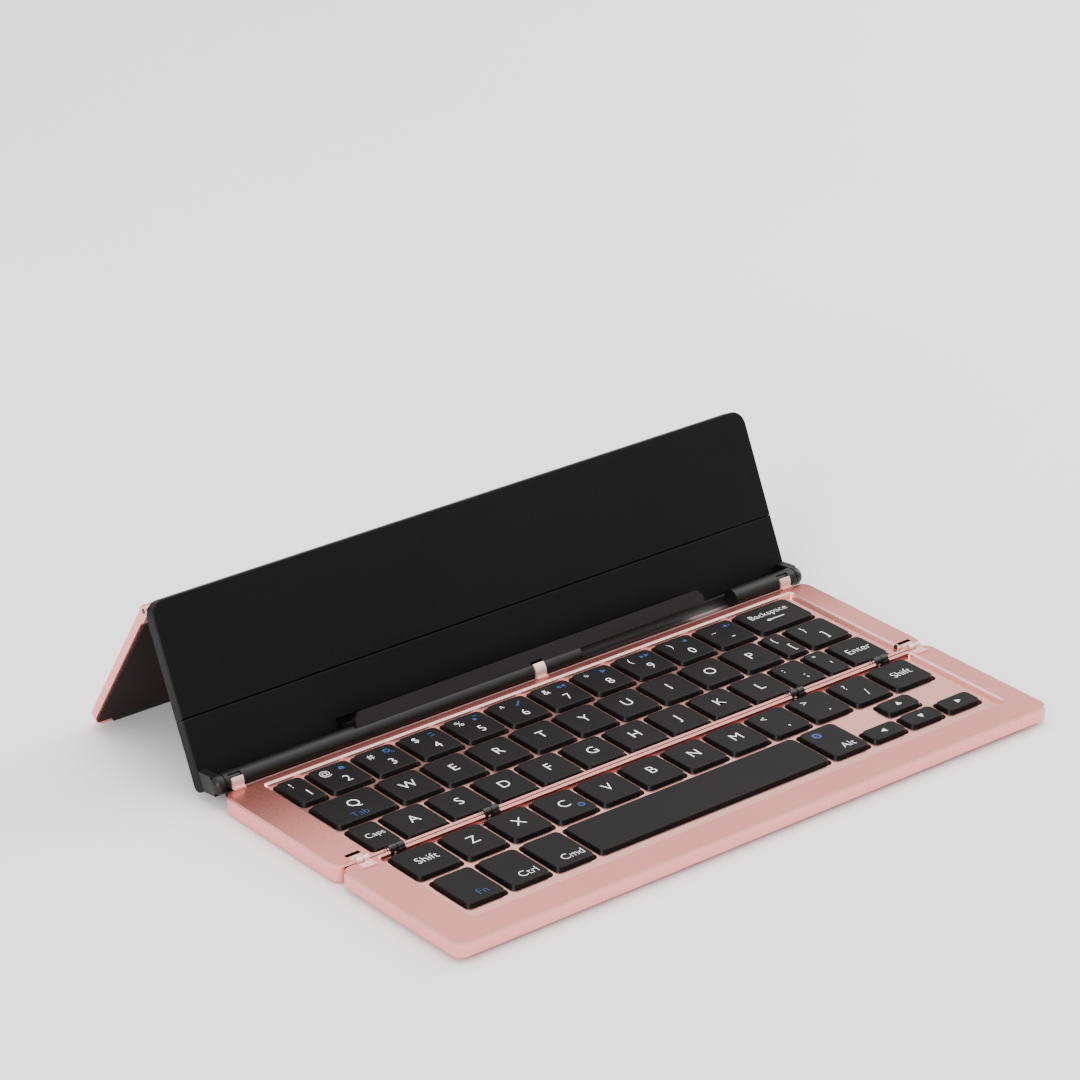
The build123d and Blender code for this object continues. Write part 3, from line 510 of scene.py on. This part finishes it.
FINISHES = {
    "rose_frame": rose_frame(),
    "rose_deck": polished_rose(),
    "rose_shell": rose_shell(),
    "shaded_trough": shaded_trough(),
    "satin_clip": satin_clip(),
    "keycap_black": keycap_black(),
    "white_ink": ink("white_ink", (246, 246, 248), (214, 214, 218)),
    "blue_ink": ink("blue_ink", (34, 72, 132), (26, 54, 102)),
    "panel_black": stand_black("panel_black"),
    "liner_brown": stand_black("liner_brown", (34, 17, 17), 0.42),
    "barrel_black": barrel_black("barrel_black"),
    "ledge_black": barrel_black("ledge_black", (24, 21, 21)),
    "moulded_black": moulded_black(),
    "plain_steel": plain_steel(),
    "gold_contact": gold_contact(),
    "matt_rubber": matt_rubber(),
    "board_green": board_green(),
    "amber_film": amber_film(),
    "foil_pouch": foil_pouch(),
}

WEARS = {
    "rose_frame": ["rear_top_frame", "front_top_frame"],
    "rose_shell": ["rear_bottom_cover", "front_bottom_cover", "leg_plate"],
    "rose_deck": ["rear_key_deck", "front_key_deck"],
    "shaded_trough": ["spine_cradle"],
    "satin_clip": ["hinge_straps", "rear_hinge_leaves", "front_hinge_leaves"],
    "panel_black": ["stand_lower_panel", "stand_upper_panel"],
    "liner_brown": ["leg_liner"],
    "barrel_black": ["spine_bar_long", "spine_bar_short", "panel_knuckles"],
    "ledge_black": ["tablet_ledge"],
    "moulded_black": [
        "rear_hinge_knuckles", "front_hinge_knuckles", "power_switch", "spine_guard", "leg_brackets",
        "leg_pins",
    ],
    "plain_steel": [
        "fold_hinge_pins", "stand_axles", "rear_cover_screws", "front_cover_screws", "charging_socket",
        "rear_switch_pads", "front_switch_pads", "rear_magnets", "front_magnets",
    ],
    "matt_rubber": ["rear_feet", "front_feet", "leg_foot_strip", "ledge_grip"],
    "board_green": ["rear_circuit_board"],
    "amber_film": ["front_circuit_sheet", "ribbon_tail"],
    "foil_pouch": ["battery_cell"],
}


def dress_nodes():
    for finish, wearers in WEARS.items():
        for name in wearers:
            for slot in nodes[name].material_slots:
                slot.material = FINISHES[finish]


# ---------------------------------------------------------------- mesh workshop
def add_piece(name, mesh, body):
    """A finished mesh as a piece on its body."""
    piece = bpy.data.objects.new(name, mesh)
    bpy.context.scene.collection.objects.link(piece)
    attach(piece, body)
    return piece


def joined(name, meshes, finish):
    """One mesh out of several, in one finish."""
    vertices, faces = [], []
    for mesh in meshes:
        start = len(vertices)
        vertices += [tuple(v.co) for v in mesh.vertices]
        faces += [[start + i for i in p.vertices] for p in mesh.polygons]
        bpy.data.meshes.remove(mesh)
    whole = bpy.data.meshes.new(name)
    whole.from_pydata(vertices, [], faces)
    whole.materials.append(FINISHES[finish])
    whole.shade_smooth()
    whole.set_sharp_from_angle(angle=radians(34.0))
    return whole


class Recipe:
    """A geometry node tree with named inputs, built step by step."""

    def __init__(self, name, **sizes):
        self.tree = bpy.data.node_groups.new(name, "GeometryNodeTree")
        self.tree.interface.new_socket("Geometry", in_out="INPUT", socket_type="NodeSocketGeometry")
        self.ids = {}
        for size, value in sizes.items():
            kind = "NodeSocketInt" if isinstance(value, int) else "NodeSocketFloat"
            made = self.tree.interface.new_socket(size, in_out="INPUT", socket_type=kind)
            made.default_value = value
            self.ids[size] = made.identifier
        self.tree.interface.new_socket("Geometry", in_out="OUTPUT", socket_type="NodeSocketGeometry")
        self.given = self.tree.nodes.new("NodeGroupInput")

    def size(self, name):
        return self.given.outputs[name]

    def node(self, kind, settings=None, values=None, output=0):
        made = self.tree.nodes.new(kind)
        for key, value in (settings or {}).items():
            setattr(made, key, value)
        for key, value in (values or {}).items():
            for one in value if isinstance(value, list) else [value]:
                if isinstance(one, bpy.types.NodeSocket):
                    self.tree.links.new(one, made.inputs[key])
                else:
                    made.inputs[key].default_value = one
        return made if output is None else made.outputs[output]

    def maths(self, operation, first, second):
        return self.node("ShaderNodeMath", {"operation": operation}, {0: first, 1: second})

    def vector(self, x=0.0, y=0.0, z=0.0):
        return self.node("ShaderNodeCombineXYZ", None, {"X": x, "Y": y, "Z": z})

    def finish(self, shape, finish):
        real = self.node("GeometryNodeRealizeInstances", None, {"Geometry": shape})
        painted = self.node("GeometryNodeSetMaterial", None, {"Geometry": real, "Material": FINISHES[finish]})
        out = self.tree.nodes.new("NodeGroupOutput")
        self.tree.links.new(painted, out.inputs["Geometry"])

    def make(self, mesh=None, **sizes):
        """The tree's result on a mesh, as a plain mesh."""
        holder = bpy.data.objects.new("holder", mesh or bpy.data.meshes.new("empty"))
        bpy.context.scene.collection.objects.link(holder)
        modifier = holder.modifiers.new("recipe", "NODES")
        modifier.node_group = self.tree
        for size, value in sizes.items():
            modifier[self.ids[size]] = value
        ready = holder.evaluated_get(bpy.context.evaluated_depsgraph_get())
        result = bpy.data.meshes.new_from_object(ready)
        bpy.data.objects.remove(holder)
        return result


# ---------------------------------------------------------------- keycaps
CAP_STEPS = 4
CAP_ROLL = 0.3 * MM
DISH_DROP = 0.03 * MM
DISH_SHARES = (0.07, 0.1)
WELD = 0.001 * MM


def rounded_block_recipe(name, finish):
    """A rounded rectangle drawn up through a tapered wall and a rolled edge to a faintly dished top."""
    r = Recipe(name, Width=0.017, Depth=0.017, Corner=0.0022, Foot=0.0, Height=0.002, Draft=0.0, Roll=0.0003)
    outline = r.node(
        "GeometryNodeCurvePrimitiveQuadrilateral", None, {"Width": r.size("Width"), "Height": r.size("Depth")}
    )
    rounded = r.node(
        "GeometryNodeFilletCurve", {"mode": "POLY"}, {"Curve": outline, "Radius": r.size("Corner"), "Count": 6}
    )
    floor = r.node("GeometryNodeFillCurve", {"mode": "NGONS"}, {"Curve": rounded})
    under = r.node("GeometryNodeFlipFaces", None, {"Mesh": floor})
    shape = floor
    wall = r.maths("SUBTRACT", r.size("Height"), r.size("Roll"))
    rises = [(wall, r.size("Draft"))]
    for step in range(1, CAP_STEPS + 1):
        turn = pi / 2 * step / CAP_STEPS
        last_turn = pi / 2 * (step - 1) / CAP_STEPS
        rise = r.maths("MULTIPLY", r.size("Roll"), sin(turn) - sin(last_turn))
        inset = r.maths("MULTIPLY", r.size("Roll"), cos(last_turn) - cos(turn))
        rises.append((rise, inset))
    for share in DISH_SHARES:
        rises.append((-DISH_DROP, r.maths("MULTIPLY", r.size("Depth"), share)))
    gone = 0.0
    crown = True
    for rise, inset in rises:
        values = {"Mesh": shape, "Selection": crown, "Offset": r.vector(z=rise), "Offset Scale": 1.0}
        grown = r.node("GeometryNodeExtrudeMesh", None, values, None)
        crown = grown.outputs["Top"]
        grown.inputs["Individual"].default_value = False
        place = r.node("GeometryNodeInputPosition")
        parts = r.node("ShaderNodeSeparateXYZ", None, {0: place}, None)
        moved = []
        for axis, span in (("X", "Width"), ("Y", "Depth")):
            before = r.maths("SUBTRACT", r.size(span), r.maths("MULTIPLY", gone, 2.0))
            after = r.maths("SUBTRACT", before, r.maths("MULTIPLY", inset, 2.0))
            moved.append(r.maths("MULTIPLY", parts.outputs[axis], r.maths("DIVIDE", after, before)))
        spot = r.vector(moved[0], moved[1], parts.outputs["Z"])
        shape = r.node(
            "GeometryNodeSetPosition", None,
            {"Geometry": grown.outputs["Mesh"], "Selection": crown, "Position": spot},
        )
        gone = r.maths("ADD", gone, inset)
    closed = r.node("GeometryNodeJoinGeometry", None, {"Geometry": [shape, under]})
    sealed = r.node("GeometryNodeMergeByDistance", None, {"Geometry": closed, "Distance": WELD})
    raised = r.node(
        "GeometryNodeTransform", None, {"Geometry": sealed, "Translation": r.vector(z=r.size("Foot"))}
    )
    r.finish(raised, finish)
    return r


def cell_row(widths, start):
    """The left edge and width of each key in a row."""
    cells = []
    for width in widths:
        cells.append((start, width))
        start += width
    return cells


def middle_y(node):
    return (low(node).y + high(node).y) / 2


def depth_of(node):
    return high(node).y - low(node).y


# Each key is its width in mm, its node, its main legend, the legend above that and its blue mark.
LETTER = 19.0
NUMBER_MARKS = ("house", "lens", "frame", "sheets", "scissors", "back", "play", "forward", "mute", "quieter")
NUMBER_ROW = [(12.8, "number_row_keys", "1", "!", None)]
NUMBER_LEGENDS = zip("234567890-", "@#$%^&*()_", NUMBER_MARKS)
NUMBER_ROW += [(LETTER, "number_row_keys", *legends) for legends in NUMBER_LEGENDS]
NUMBER_ROW += [(27.6, "key_backspace", "Backspace", None, None)]
UPPER_ROW = [(26.8, "key_tab_q", "Q", None, None)]
UPPER_ROW += [(LETTER, "upper_row_keys", letter, None, None) for letter in "WERTYUIOP"]
UPPER_ROW += [(11.7, "upper_row_keys", "[", "{", None), (20.9, "upper_row_keys", "]", "}", None)]
HOME_ROW = [(13.7, "key_caps", "Caps", None, None)]
HOME_ROW += [(LETTER, "home_row_keys", letter, None, None) for letter in "ASDFGHJKL"]
HOME_ROW += [(15.8, "home_row_keys", ";", ":", None), (11.7, "home_row_keys", "'", '"', None)]
HOME_ROW += [(18.2, "key_enter", "Enter", None, None)]
LOWER_MARKS = {"C": "link"}
LOWER_ROW = [(20.2, "key_shift_left", "Shift", None, None)]
LOWER_ROW += [(LETTER, "lower_row_keys", letter, None, LOWER_MARKS.get(letter)) for letter in "ZXCVBNM"]
LOWER_ROW += [(LETTER, "lower_row_keys", main, above, None) for main, above in zip(",./", "<>?")]
LOWER_ROW += [(20.2, "key_shift_right", "Shift", None, None)]


def row_of_keys(row, node_for_y):
    """The keys of one row, side by side from the left of the key field."""
    middle = middle_y(node_for_y)
    depth = depth_of(node_for_y)
    keys = []
    cells = cell_row([key[0] * MM for key in row], FIELD_LEFT)
    for (start, width), (_, node, main, above, blue) in zip(cells, row):
        centre = Vector((start + width / 2, middle, 0.0))
        keys.append((node, centre, width - KEY_GAP, depth, main, above, blue))
    return keys


def single_key(node, main, blue=None):
    centre = (low(node) + high(node)) / 2
    size = high(node) - low(node)
    return (node, Vector((centre.x, centre.y, 0.0)), size.x, size.y, main, None, blue)


def all_keys():
    """Every key: its node, centre, width, depth, main legend, legend above and blue mark."""
    keys = row_of_keys(NUMBER_ROW, "number_row_keys") + row_of_keys(UPPER_ROW, "upper_row_keys")
    keys += row_of_keys(HOME_ROW, "home_row_keys") + row_of_keys(LOWER_ROW, "lower_row_keys")
    keys += [
        single_key("key_fn", "Fn"), single_key("key_ctrl", "Ctrl"), single_key("key_cmd", "Cmd"),
        single_key("key_space", ""), single_key("key_alt", "Alt", "globe"),
    ]
    keys += [single_key("key_arrow_" + way, way) for way in ("left", "up", "down", "right")]
    return keys


LEGEND_LIFT = 0.02 * MM
LEGEND_THICK = 0.03 * MM
LEGEND_WEIGHT = -0.012
WORD_WEIGHT = -0.018
INK_LOW = KEY_TOP - LEGEND_LIFT - LEGEND_THICK
INK_HIGH = KEY_TOP - LEGEND_LIFT + LEGEND_THICK


def lettering(text, size, x, y):
    """Printed characters as a thin closed mesh lying on the key tops, centred on x, y."""
    curve = bpy.data.curves.new("lettering", "FONT")
    curve.body = text
    curve.size = size
    curve.extrude = LEGEND_THICK
    curve.offset = size * (WORD_WEIGHT if len(text) > 1 else LEGEND_WEIGHT)
    curve.resolution_u = 4
    curve.align_x = "CENTER"
    curve.align_y = "CENTER"
    holder = bpy.data.objects.new("lettering", curve)
    bpy.context.scene.collection.objects.link(holder)
    bpy.context.view_layer.update()
    mesh = bpy.data.meshes.new_from_object(holder.evaluated_get(bpy.context.evaluated_depsgraph_get()))
    bpy.data.objects.remove(holder)
    bpy.data.curves.remove(curve)
    mesh.transform(Matrix.Translation((x, y, KEY_TOP - LEGEND_LIFT)))
    return mesh


def prism(name, outline, z_low, z_high):
    """A closed upright solid on an outline of points."""
    count = len(outline)
    vertices = [(x, y, z) for z in (z_low, z_high) for x, y in outline]
    faces = [list(range(count))[::-1], [count + i for i in range(count)]]
    faces += [[i, (i + 1) % count, count + (i + 1) % count, count + i] for i in range(count)]
    mesh = bpy.data.meshes.new(name)
    mesh.from_pydata(vertices, [], faces)
    return mesh


def flat_shape(outline, x, y, size):
    """A printed mark from an outline of points about its own centre."""
    return prism("mark", [(x + px * size, y + py * size) for px, py in outline], INK_LOW, INK_HIGH)


RING_SIDES = 20


def ring_shape(x, y, outer, inner):
    """A printed ring."""
    turns = [2 * pi * i / RING_SIDES for i in range(RING_SIDES)]
    vertices = []
    for radius, z in ((outer, INK_LOW), (outer, INK_HIGH), (inner, INK_HIGH), (inner, INK_LOW)):
        vertices += [(x + radius * cos(turn), y + radius * sin(turn), z) for turn in turns]
    faces = []
    for band in range(4):
        here, there = band * RING_SIDES, (band + 1) % 4 * RING_SIDES
        for i in range(RING_SIDES):
            after = (i + 1) % RING_SIDES
            faces.append([here + i, here + after, there + after, there + i])
    mesh = bpy.data.meshes.new("ring")
    mesh.from_pydata(vertices, [], faces)
    return mesh


HOMING_HALF = 1.3 * MM
HOMING_ROUND = 0.25 * MM
HOMING_FORWARD = 5.4 * MM
HOMING_SIDES = 12


def homing_bar(centre):
    """The small bar on the two keys where the first fingers rest."""
    outline = []
    for i in range(HOMING_SIDES):
        angle = 2 * pi * i / HOMING_SIDES
        side = HOMING_HALF if cos(angle) > 0 else -HOMING_HALF
        x = centre.x + side + HOMING_ROUND * cos(angle)
        y = centre.y - HOMING_FORWARD + HOMING_ROUND * sin(angle)
        outline.append((x, y))
    return prism("homing_bar", outline, KEY_TOP - 0.3 * MM, KEY_TOP - 0.01 * MM)


TRIANGLE = [(0.9, 0.0), (-0.6, 0.8), (-0.6, -0.8)]
SQUARE = [(-0.7, -0.7), (0.7, -0.7), (0.7, 0.7), (-0.7, 0.7)]
BAR = [(-0.9, -0.2), (0.9, -0.2), (0.9, 0.2), (-0.9, 0.2)]
LONG_ARROW = [(-1, 0), (-0.7, 0.2), (-0.7, 0.05), (1, 0.05), (1, -0.05), (-0.7, -0.05), (-0.7, -0.2)]
HOUSE = [(-0.7, -0.7), (0.7, -0.7), (0.7, 0.1), (0.0, 0.8), (-0.7, 0.1)]


def turned(outline, angle):
    return [(x * cos(angle) - y * sin(angle), x * sin(angle) + y * cos(angle)) for x, y in outline]


MARK_SIZE = 1.5 * MM
GLOBE_SIZE = 2.0 * MM


def blue_mark(kind, x, y):
    """Small plain marks for the second functions."""
    s = GLOBE_SIZE if kind == "globe" else MARK_SIZE
    if kind == "house":
        return [flat_shape(HOUSE, x, y, s)]
    if kind in ("lens", "link", "globe"):
        marks = [ring_shape(x, y, s * 0.85, s * 0.5)]
        if kind == "lens":
            marks.append(flat_shape(turned(BAR, -pi / 4), x + s, y - s, s * 0.5))
        if kind == "globe":
            marks.append(flat_shape(BAR, x, y, s * 0.5))
        return marks
    if kind == "play":
        return [flat_shape(TRIANGLE, x, y, s)]
    if kind in ("back", "forward"):
        pointer = turned(TRIANGLE, pi if kind == "back" else 0.0)
        return [flat_shape(pointer, x + dx, y, s * 0.8) for dx in (-s * 0.7, s * 0.7)]
    if kind in ("mute", "quieter"):
        marks = [flat_shape(turned(TRIANGLE, pi), x, y, s * 0.8)]
        if kind == "quieter":
            marks.append(flat_shape(turned(BAR, pi / 2), x + s * 1.2, y, s * 0.5))
        return marks
    if kind == "scissors":
        return [flat_shape(turned(BAR, pi / 4), x, y, s), ring_shape(x - s, y - s, s * 0.4, s * 0.2)]
    if kind == "sheets":
        sheet = flat_shape(SQUARE, x - s * 0.4, y - s * 0.4, s * 0.6)
        return [sheet, flat_shape(BAR, x + s * 0.6, y + s * 0.9, s * 0.6)]
    return [flat_shape(BAR, x, y + dy, s * 0.7) for dy in (-s * 0.6, s * 0.6)]


ARROWS = {"left": pi, "up": pi / 2, "down": -pi / 2, "right": 0.0}


def legends_for(key):
    """White and blue printing for one key."""
    _, centre, width, depth, main, above, blue = key
    x, y = centre.x, centre.y
    white, tinted = [], []
    if main in ARROWS:
        white.append(flat_shape(turned(TRIANGLE, ARROWS[main]), x, y, 1.4 * MM))
    elif main == "Backspace":
        white.append(lettering(main, 4.3 * MM, x - 0.4 * MM, y + 2.6 * MM))
        white.append(flat_shape(LONG_ARROW, x - 0.6 * MM, y - 1.8 * MM, 4.1 * MM))
    elif main == "Fn":
        tinted.append(lettering(main, 4.6 * MM, x + 1.2 * MM, y - 5.4 * MM))
    elif main in ("Ctrl", "Cmd", "Alt"):
        white.append(lettering(main, 4.7 * MM, x + 1.8 * MM, y - 5.2 * MM))
    elif main in ("Shift", "Enter", "Caps"):
        white.append(lettering(main, 5.0 * MM if width > 16.0 * MM else 3.8 * MM, x + 0.4 * MM, y))
    elif main == "Q":
        white.append(lettering(main, 6.2 * MM, x + 1.0 * MM, y + 1.4 * MM))
        tinted.append(lettering("Tab", 4.4 * MM, x - 1.2 * MM, y - 5.0 * MM))
    elif above:
        narrow = width < 13.0 * MM
        white.append(lettering(above, 4.4 * MM, x - (1.2 * MM if narrow else 3.4 * MM), y + 3.8 * MM))
        white.append(lettering(main, 5.6 * MM, x + (1.2 * MM if narrow else 1.0 * MM), y - 3.0 * MM))
    elif main:
        white.append(lettering(main, 6.2 * MM, x, y + 0.2 * MM))
    if blue == "globe":
        tinted += blue_mark(blue, x - 3.0 * MM, y + 5.2 * MM)
    elif blue == "link":
        tinted += blue_mark(blue, x + 4.6 * MM, y - 3.2 * MM)
    elif blue:
        tinted += blue_mark(blue, x + 3.6 * MM, y + 4.2 * MM)
    return white, tinted


def make_keys():
    """The caps of each key node in one mesh, with their white and blue printing as pieces of their own."""
    recipe = rounded_block_recipe("keycap", "keycap_black")
    rise = KEY_TOP - KEY_FOOT
    draft = rise * tan(KEY_TAPER) - CAP_ROLL
    caps, whites, blues = {}, {}, {}
    for key in all_keys():
        node, centre, width, depth = key[:4]
        cap = recipe.make(Width=width, Depth=depth, Foot=KEY_FOOT, Height=rise, Draft=draft, Roll=CAP_ROLL)
        cap.transform(Matrix.Translation(centre))
        caps.setdefault(node, []).append(cap)
        if key[4] in ("F", "J"):
            caps[node].append(homing_bar(centre))
        white, tinted = legends_for(key)
        whites.setdefault(node, []).extend(white)
        blues.setdefault(node, []).extend(tinted)
    for node in caps:
        name = "caps." + node
        piece = add_piece(name, joined(name, caps[node], "keycap_black"), node)
        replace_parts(piece, node)
        for colour, printed in (("white", whites[node]), ("blue", blues[node])):
            if printed:
                name = f"{colour}_legends.{node}"
                add_piece(name, joined(name, printed, colour + "_ink"), node)


# ---------------------------------------------------------------- screws, feet, ribs, contacts
def screw_recipe():
    """A pan head with a cross recess and its shank, on every point; the head faces up."""
    r = Recipe("cover_screw", Radius=0.0013, Head=0.0004, Shank=0.0006, Length=0.003, Cross=0.0003)
    head = r.node(
        "GeometryNodeMeshCylinder", None,
        {"Vertices": 24, "Radius": r.size("Radius"), "Depth": r.size("Head")},
    )
    reach = r.maths("MULTIPLY", r.size("Radius"), 1.25)
    bars = []
    for across, along in ((reach, r.size("Cross")), (r.size("Cross"), reach)):
        bars.append(r.node("GeometryNodeMeshCube", None, {"Size": r.vector(across, along, r.size("Head"))}))
    lift = r.vector(z=r.maths("MULTIPLY", r.size("Head"), 0.45))
    cutters = [r.node("GeometryNodeTransform", None, {"Geometry": bar, "Translation": lift}) for bar in bars]
    cut = r.node(
        "GeometryNodeMeshBoolean", {"operation": "DIFFERENCE", "solver": "EXACT"},
        {"Mesh 1": head, "Mesh 2": cutters},
    )
    shank = r.node(
        "GeometryNodeMeshCylinder", None,
        {"Vertices": 12, "Radius": r.size("Shank"), "Depth": r.size("Length")},
    )
    drop = r.vector(z=r.maths("MULTIPLY", r.size("Length"), -0.5))
    hung = r.node("GeometryNodeTransform", None, {"Geometry": shank, "Translation": drop})
    whole = r.node("GeometryNodeJoinGeometry", None, {"Geometry": [cut, hung]})
    values = {"Points": r.given.outputs["Geometry"], "Instance": whole}
    placed = r.node("GeometryNodeInstanceOnPoints", None, values)
    r.finish(placed, "plain_steel")
    return r


def rib_recipe(name, finish):
    """A row of equal bars, centred, stepping along X or Y."""
    r = Recipe(name, Count=10, StepX=0.0, StepY=0.0, Width=0.001, Depth=0.001, Height=0.001)
    step = r.vector(r.size("StepX"), r.size("StepY"))
    back = r.maths("MULTIPLY", r.maths("SUBTRACT", r.size("Count"), 1.0), -0.5)
    start = r.vector(r.maths("MULTIPLY", r.size("StepX"), back), r.maths("MULTIPLY", r.size("StepY"), back))
    line = r.node(
        "GeometryNodeMeshLine", {"mode": "OFFSET"},
        {"Count": r.size("Count"), "Start Location": start, "Offset": step},
    )
    size = r.vector(r.size("Width"), r.size("Depth"), r.size("Height"))
    bar = r.node("GeometryNodeMeshCube", None, {"Size": size})
    r.finish(r.node("GeometryNodeInstanceOnPoints", None, {"Points": line, "Instance": bar}), finish)
    return r


SIDE_SCREW_X = (-126.0, 125.6)
MIDDLE_SCREW_X = (-60.0, 60.0)
# Each set: its node, its body, how far its side screws and its middle screws are from the fold, and the
# height of a head, in mm.
SCREW_SETS = [
    ("rear_cover_screws", "rear_half", (12.0, 57.5), 60.6, 0.47),
    ("front_cover_screws", "front_half", (-12.0, -56.0), -54.6, 0.25),
]


def make_screws():
    """The cover screws, heads down, in the places of the plain ones."""
    recipe = screw_recipe()
    for node, body, side_y, middle_y_mm, head in SCREW_SETS:
        places = [(x, y) for x in SIDE_SCREW_X for y in side_y] + [(x, middle_y_mm) for x in MIDDLE_SCREW_X]
        points = bpy.data.meshes.new("screw_places")
        points.from_pydata([(x * MM, -y * MM, 0.0) for x, y in places], [], [])
        mesh = recipe.make(points, Head=head * MM, Length=high(node).z - low(node).z - head * MM / 2)
        head_middle = low(node).z + head * MM / 2
        mesh.transform(Matrix.Translation((0.0, fold_line.y, head_middle)) @ Matrix.Rotation(pi, 4, "X"))
        name = "crosshead_" + node
        piece = add_piece(name, joined(name, [mesh], "plain_steel"), body)
        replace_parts(piece, node)


FOOT_LONG = 12.0 * MM
FOOT_WIDE = 6.0 * MM
FOOT_CORNER = 2.5 * MM
FOOT_ROLL = 0.25 * MM


def make_feet():
    """Pressed rubber feet, domed where they meet the table."""
    recipe = rounded_block_recipe("rubber_foot", "matt_rubber")
    for node, body in (("rear_feet", "rear_half"), ("front_feet", "front_half")):
        lowest, highest = low(node), high(node)
        sizes = {"Width": FOOT_LONG, "Depth": FOOT_WIDE, "Corner": FOOT_CORNER, "Roll": FOOT_ROLL}
        feet = []
        for x in (lowest.x + FOOT_LONG / 2, highest.x - FOOT_LONG / 2):
            for y in (lowest.y + FOOT_WIDE / 2, highest.y - FOOT_WIDE / 2):
                foot = recipe.make(Height=highest.z, **sizes)
                foot.transform(Matrix.Translation((x, y, highest.z)) @ Matrix.Rotation(pi, 4, "X"))
                feet.append(foot)
        name = "domed_" + node
        piece = add_piece(name, joined(name, feet, "matt_rubber"), body)
        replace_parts(piece, node)


LEG_THICKNESS = 4.2 * MM
STRIP_HALF = 121.9 * MM
STRIP_RISE = 3.0 * MM
STRIP_LOW = -0.9 * MM
STRIP_RIB = 0.3 * MM
leg_slope = pi - STAND_TILT - LEG_OPEN
leg_length = (leg_axis.z - LEG_THICKNESS / 2 * cos(leg_slope)) / sin(leg_slope)


def make_foot_strip():
    """The rubber edge that the leg stands on, ribbed across its contact face."""
    thick = LEG_THICKNESS / 2 - STRIP_LOW
    block = rounded_block_recipe("strip_core", "matt_rubber").make(
        Width=STRIP_HALF * 2, Depth=STRIP_RISE - STRIP_RIB, Corner=0.4 * MM, Height=thick, Roll=0.3 * MM
    )
    block.transform(Matrix.Translation((0.0, -leg_length + (STRIP_RISE + STRIP_RIB) / 2, STRIP_LOW)))
    ribs = rib_recipe("strip_ribs", "matt_rubber").make(
        Count=121, StepX=2.0 * MM, Width=1.1 * MM, Depth=STRIP_RIB * 2, Height=thick - 0.5 * MM
    )
    ribs.transform(Matrix.Translation((0.0, -leg_length + STRIP_RIB, STRIP_LOW + thick / 2)))
    mesh = joined("ribbed_foot_strip", [block, ribs], "matt_rubber")
    mesh.transform(leg_place)
    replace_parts(add_piece("ribbed_foot_strip", mesh, "leg"), "leg_foot_strip")


GRIP_DEPTH = 5.9 * MM
GRIP_BED = 0.35 * MM
GRIP_RIB_LIFT = 0.25 * MM
GRIP_OUT = 4.4 * MM
GRIP_DOWN = -2.55 * MM


def make_ledge_grip():
    """The rubber bed of the ledge, with ribs along it that keep a tablet from sliding."""
    lowest, highest = low("ledge_grip"), high("ledge_grip")
    middle = (lowest.x + highest.x) / 2
    length = highest.x - lowest.x
    bed = rounded_block_recipe("grip_bed", "matt_rubber").make(
        Width=length, Depth=GRIP_DEPTH, Corner=0.5 * MM, Height=GRIP_BED, Roll=0.1 * MM
    )
    ribs = rib_recipe("grip_ribs", "matt_rubber").make(
        Count=5, StepY=1.05 * MM, Width=length - 2.0 * MM, Depth=0.45 * MM, Height=0.5 * MM
    )
    ribs.transform(Matrix.Translation((0.0, 0.0, GRIP_RIB_LIFT)))
    mesh = joined("ribbed_ledge_grip", [bed, ribs], "matt_rubber")
    onto_ledge = Matrix.Translation((middle, GRIP_OUT, GRIP_DOWN)) @ Matrix.Rotation(-pi / 2, 4, "X")
    mesh.transform(stand_place @ onto_ledge)
    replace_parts(add_piece("ribbed_ledge_grip", mesh, "rear_half"), "ledge_grip")


CONTACT_IN = 3.2 * MM
CONTACT_LIFT = 0.26 * MM


def make_contacts():
    """Gilt contacts on both faces of the charging socket's tongue."""
    lowest, highest = low("charging_socket"), high("charging_socket")
    centre = (lowest + highest) / 2
    recipe = rib_recipe("socket_contacts", "gold_contact")
    rows = []
    for face in (-1, 1):
        row = recipe.make(Count=6, StepY=0.78 * MM, Width=3.4 * MM, Depth=0.36 * MM, Height=0.06 * MM)
        row.transform(Matrix.Translation((highest.x - CONTACT_IN, centre.y, centre.z + face * CONTACT_LIFT)))
        rows.append(row)
    add_piece("socket_contacts", joined("socket_contacts", rows, "gold_contact"), "rear_half")


# ---------------------------------------------------------------- floor
def make_floor():
    bpy.ops.mesh.primitive_plane_add(size=8.0, location=(0, 0, 0))
    floor = bpy.context.object
    floor.name = "floor"
    floor.data.materials.append(pale_floor())


set_camera()
set_studio()
dress_nodes()
make_keys()
make_screws()
make_feet()
make_foot_strip()
make_ledge_grip()
make_contacts()
make_floor()
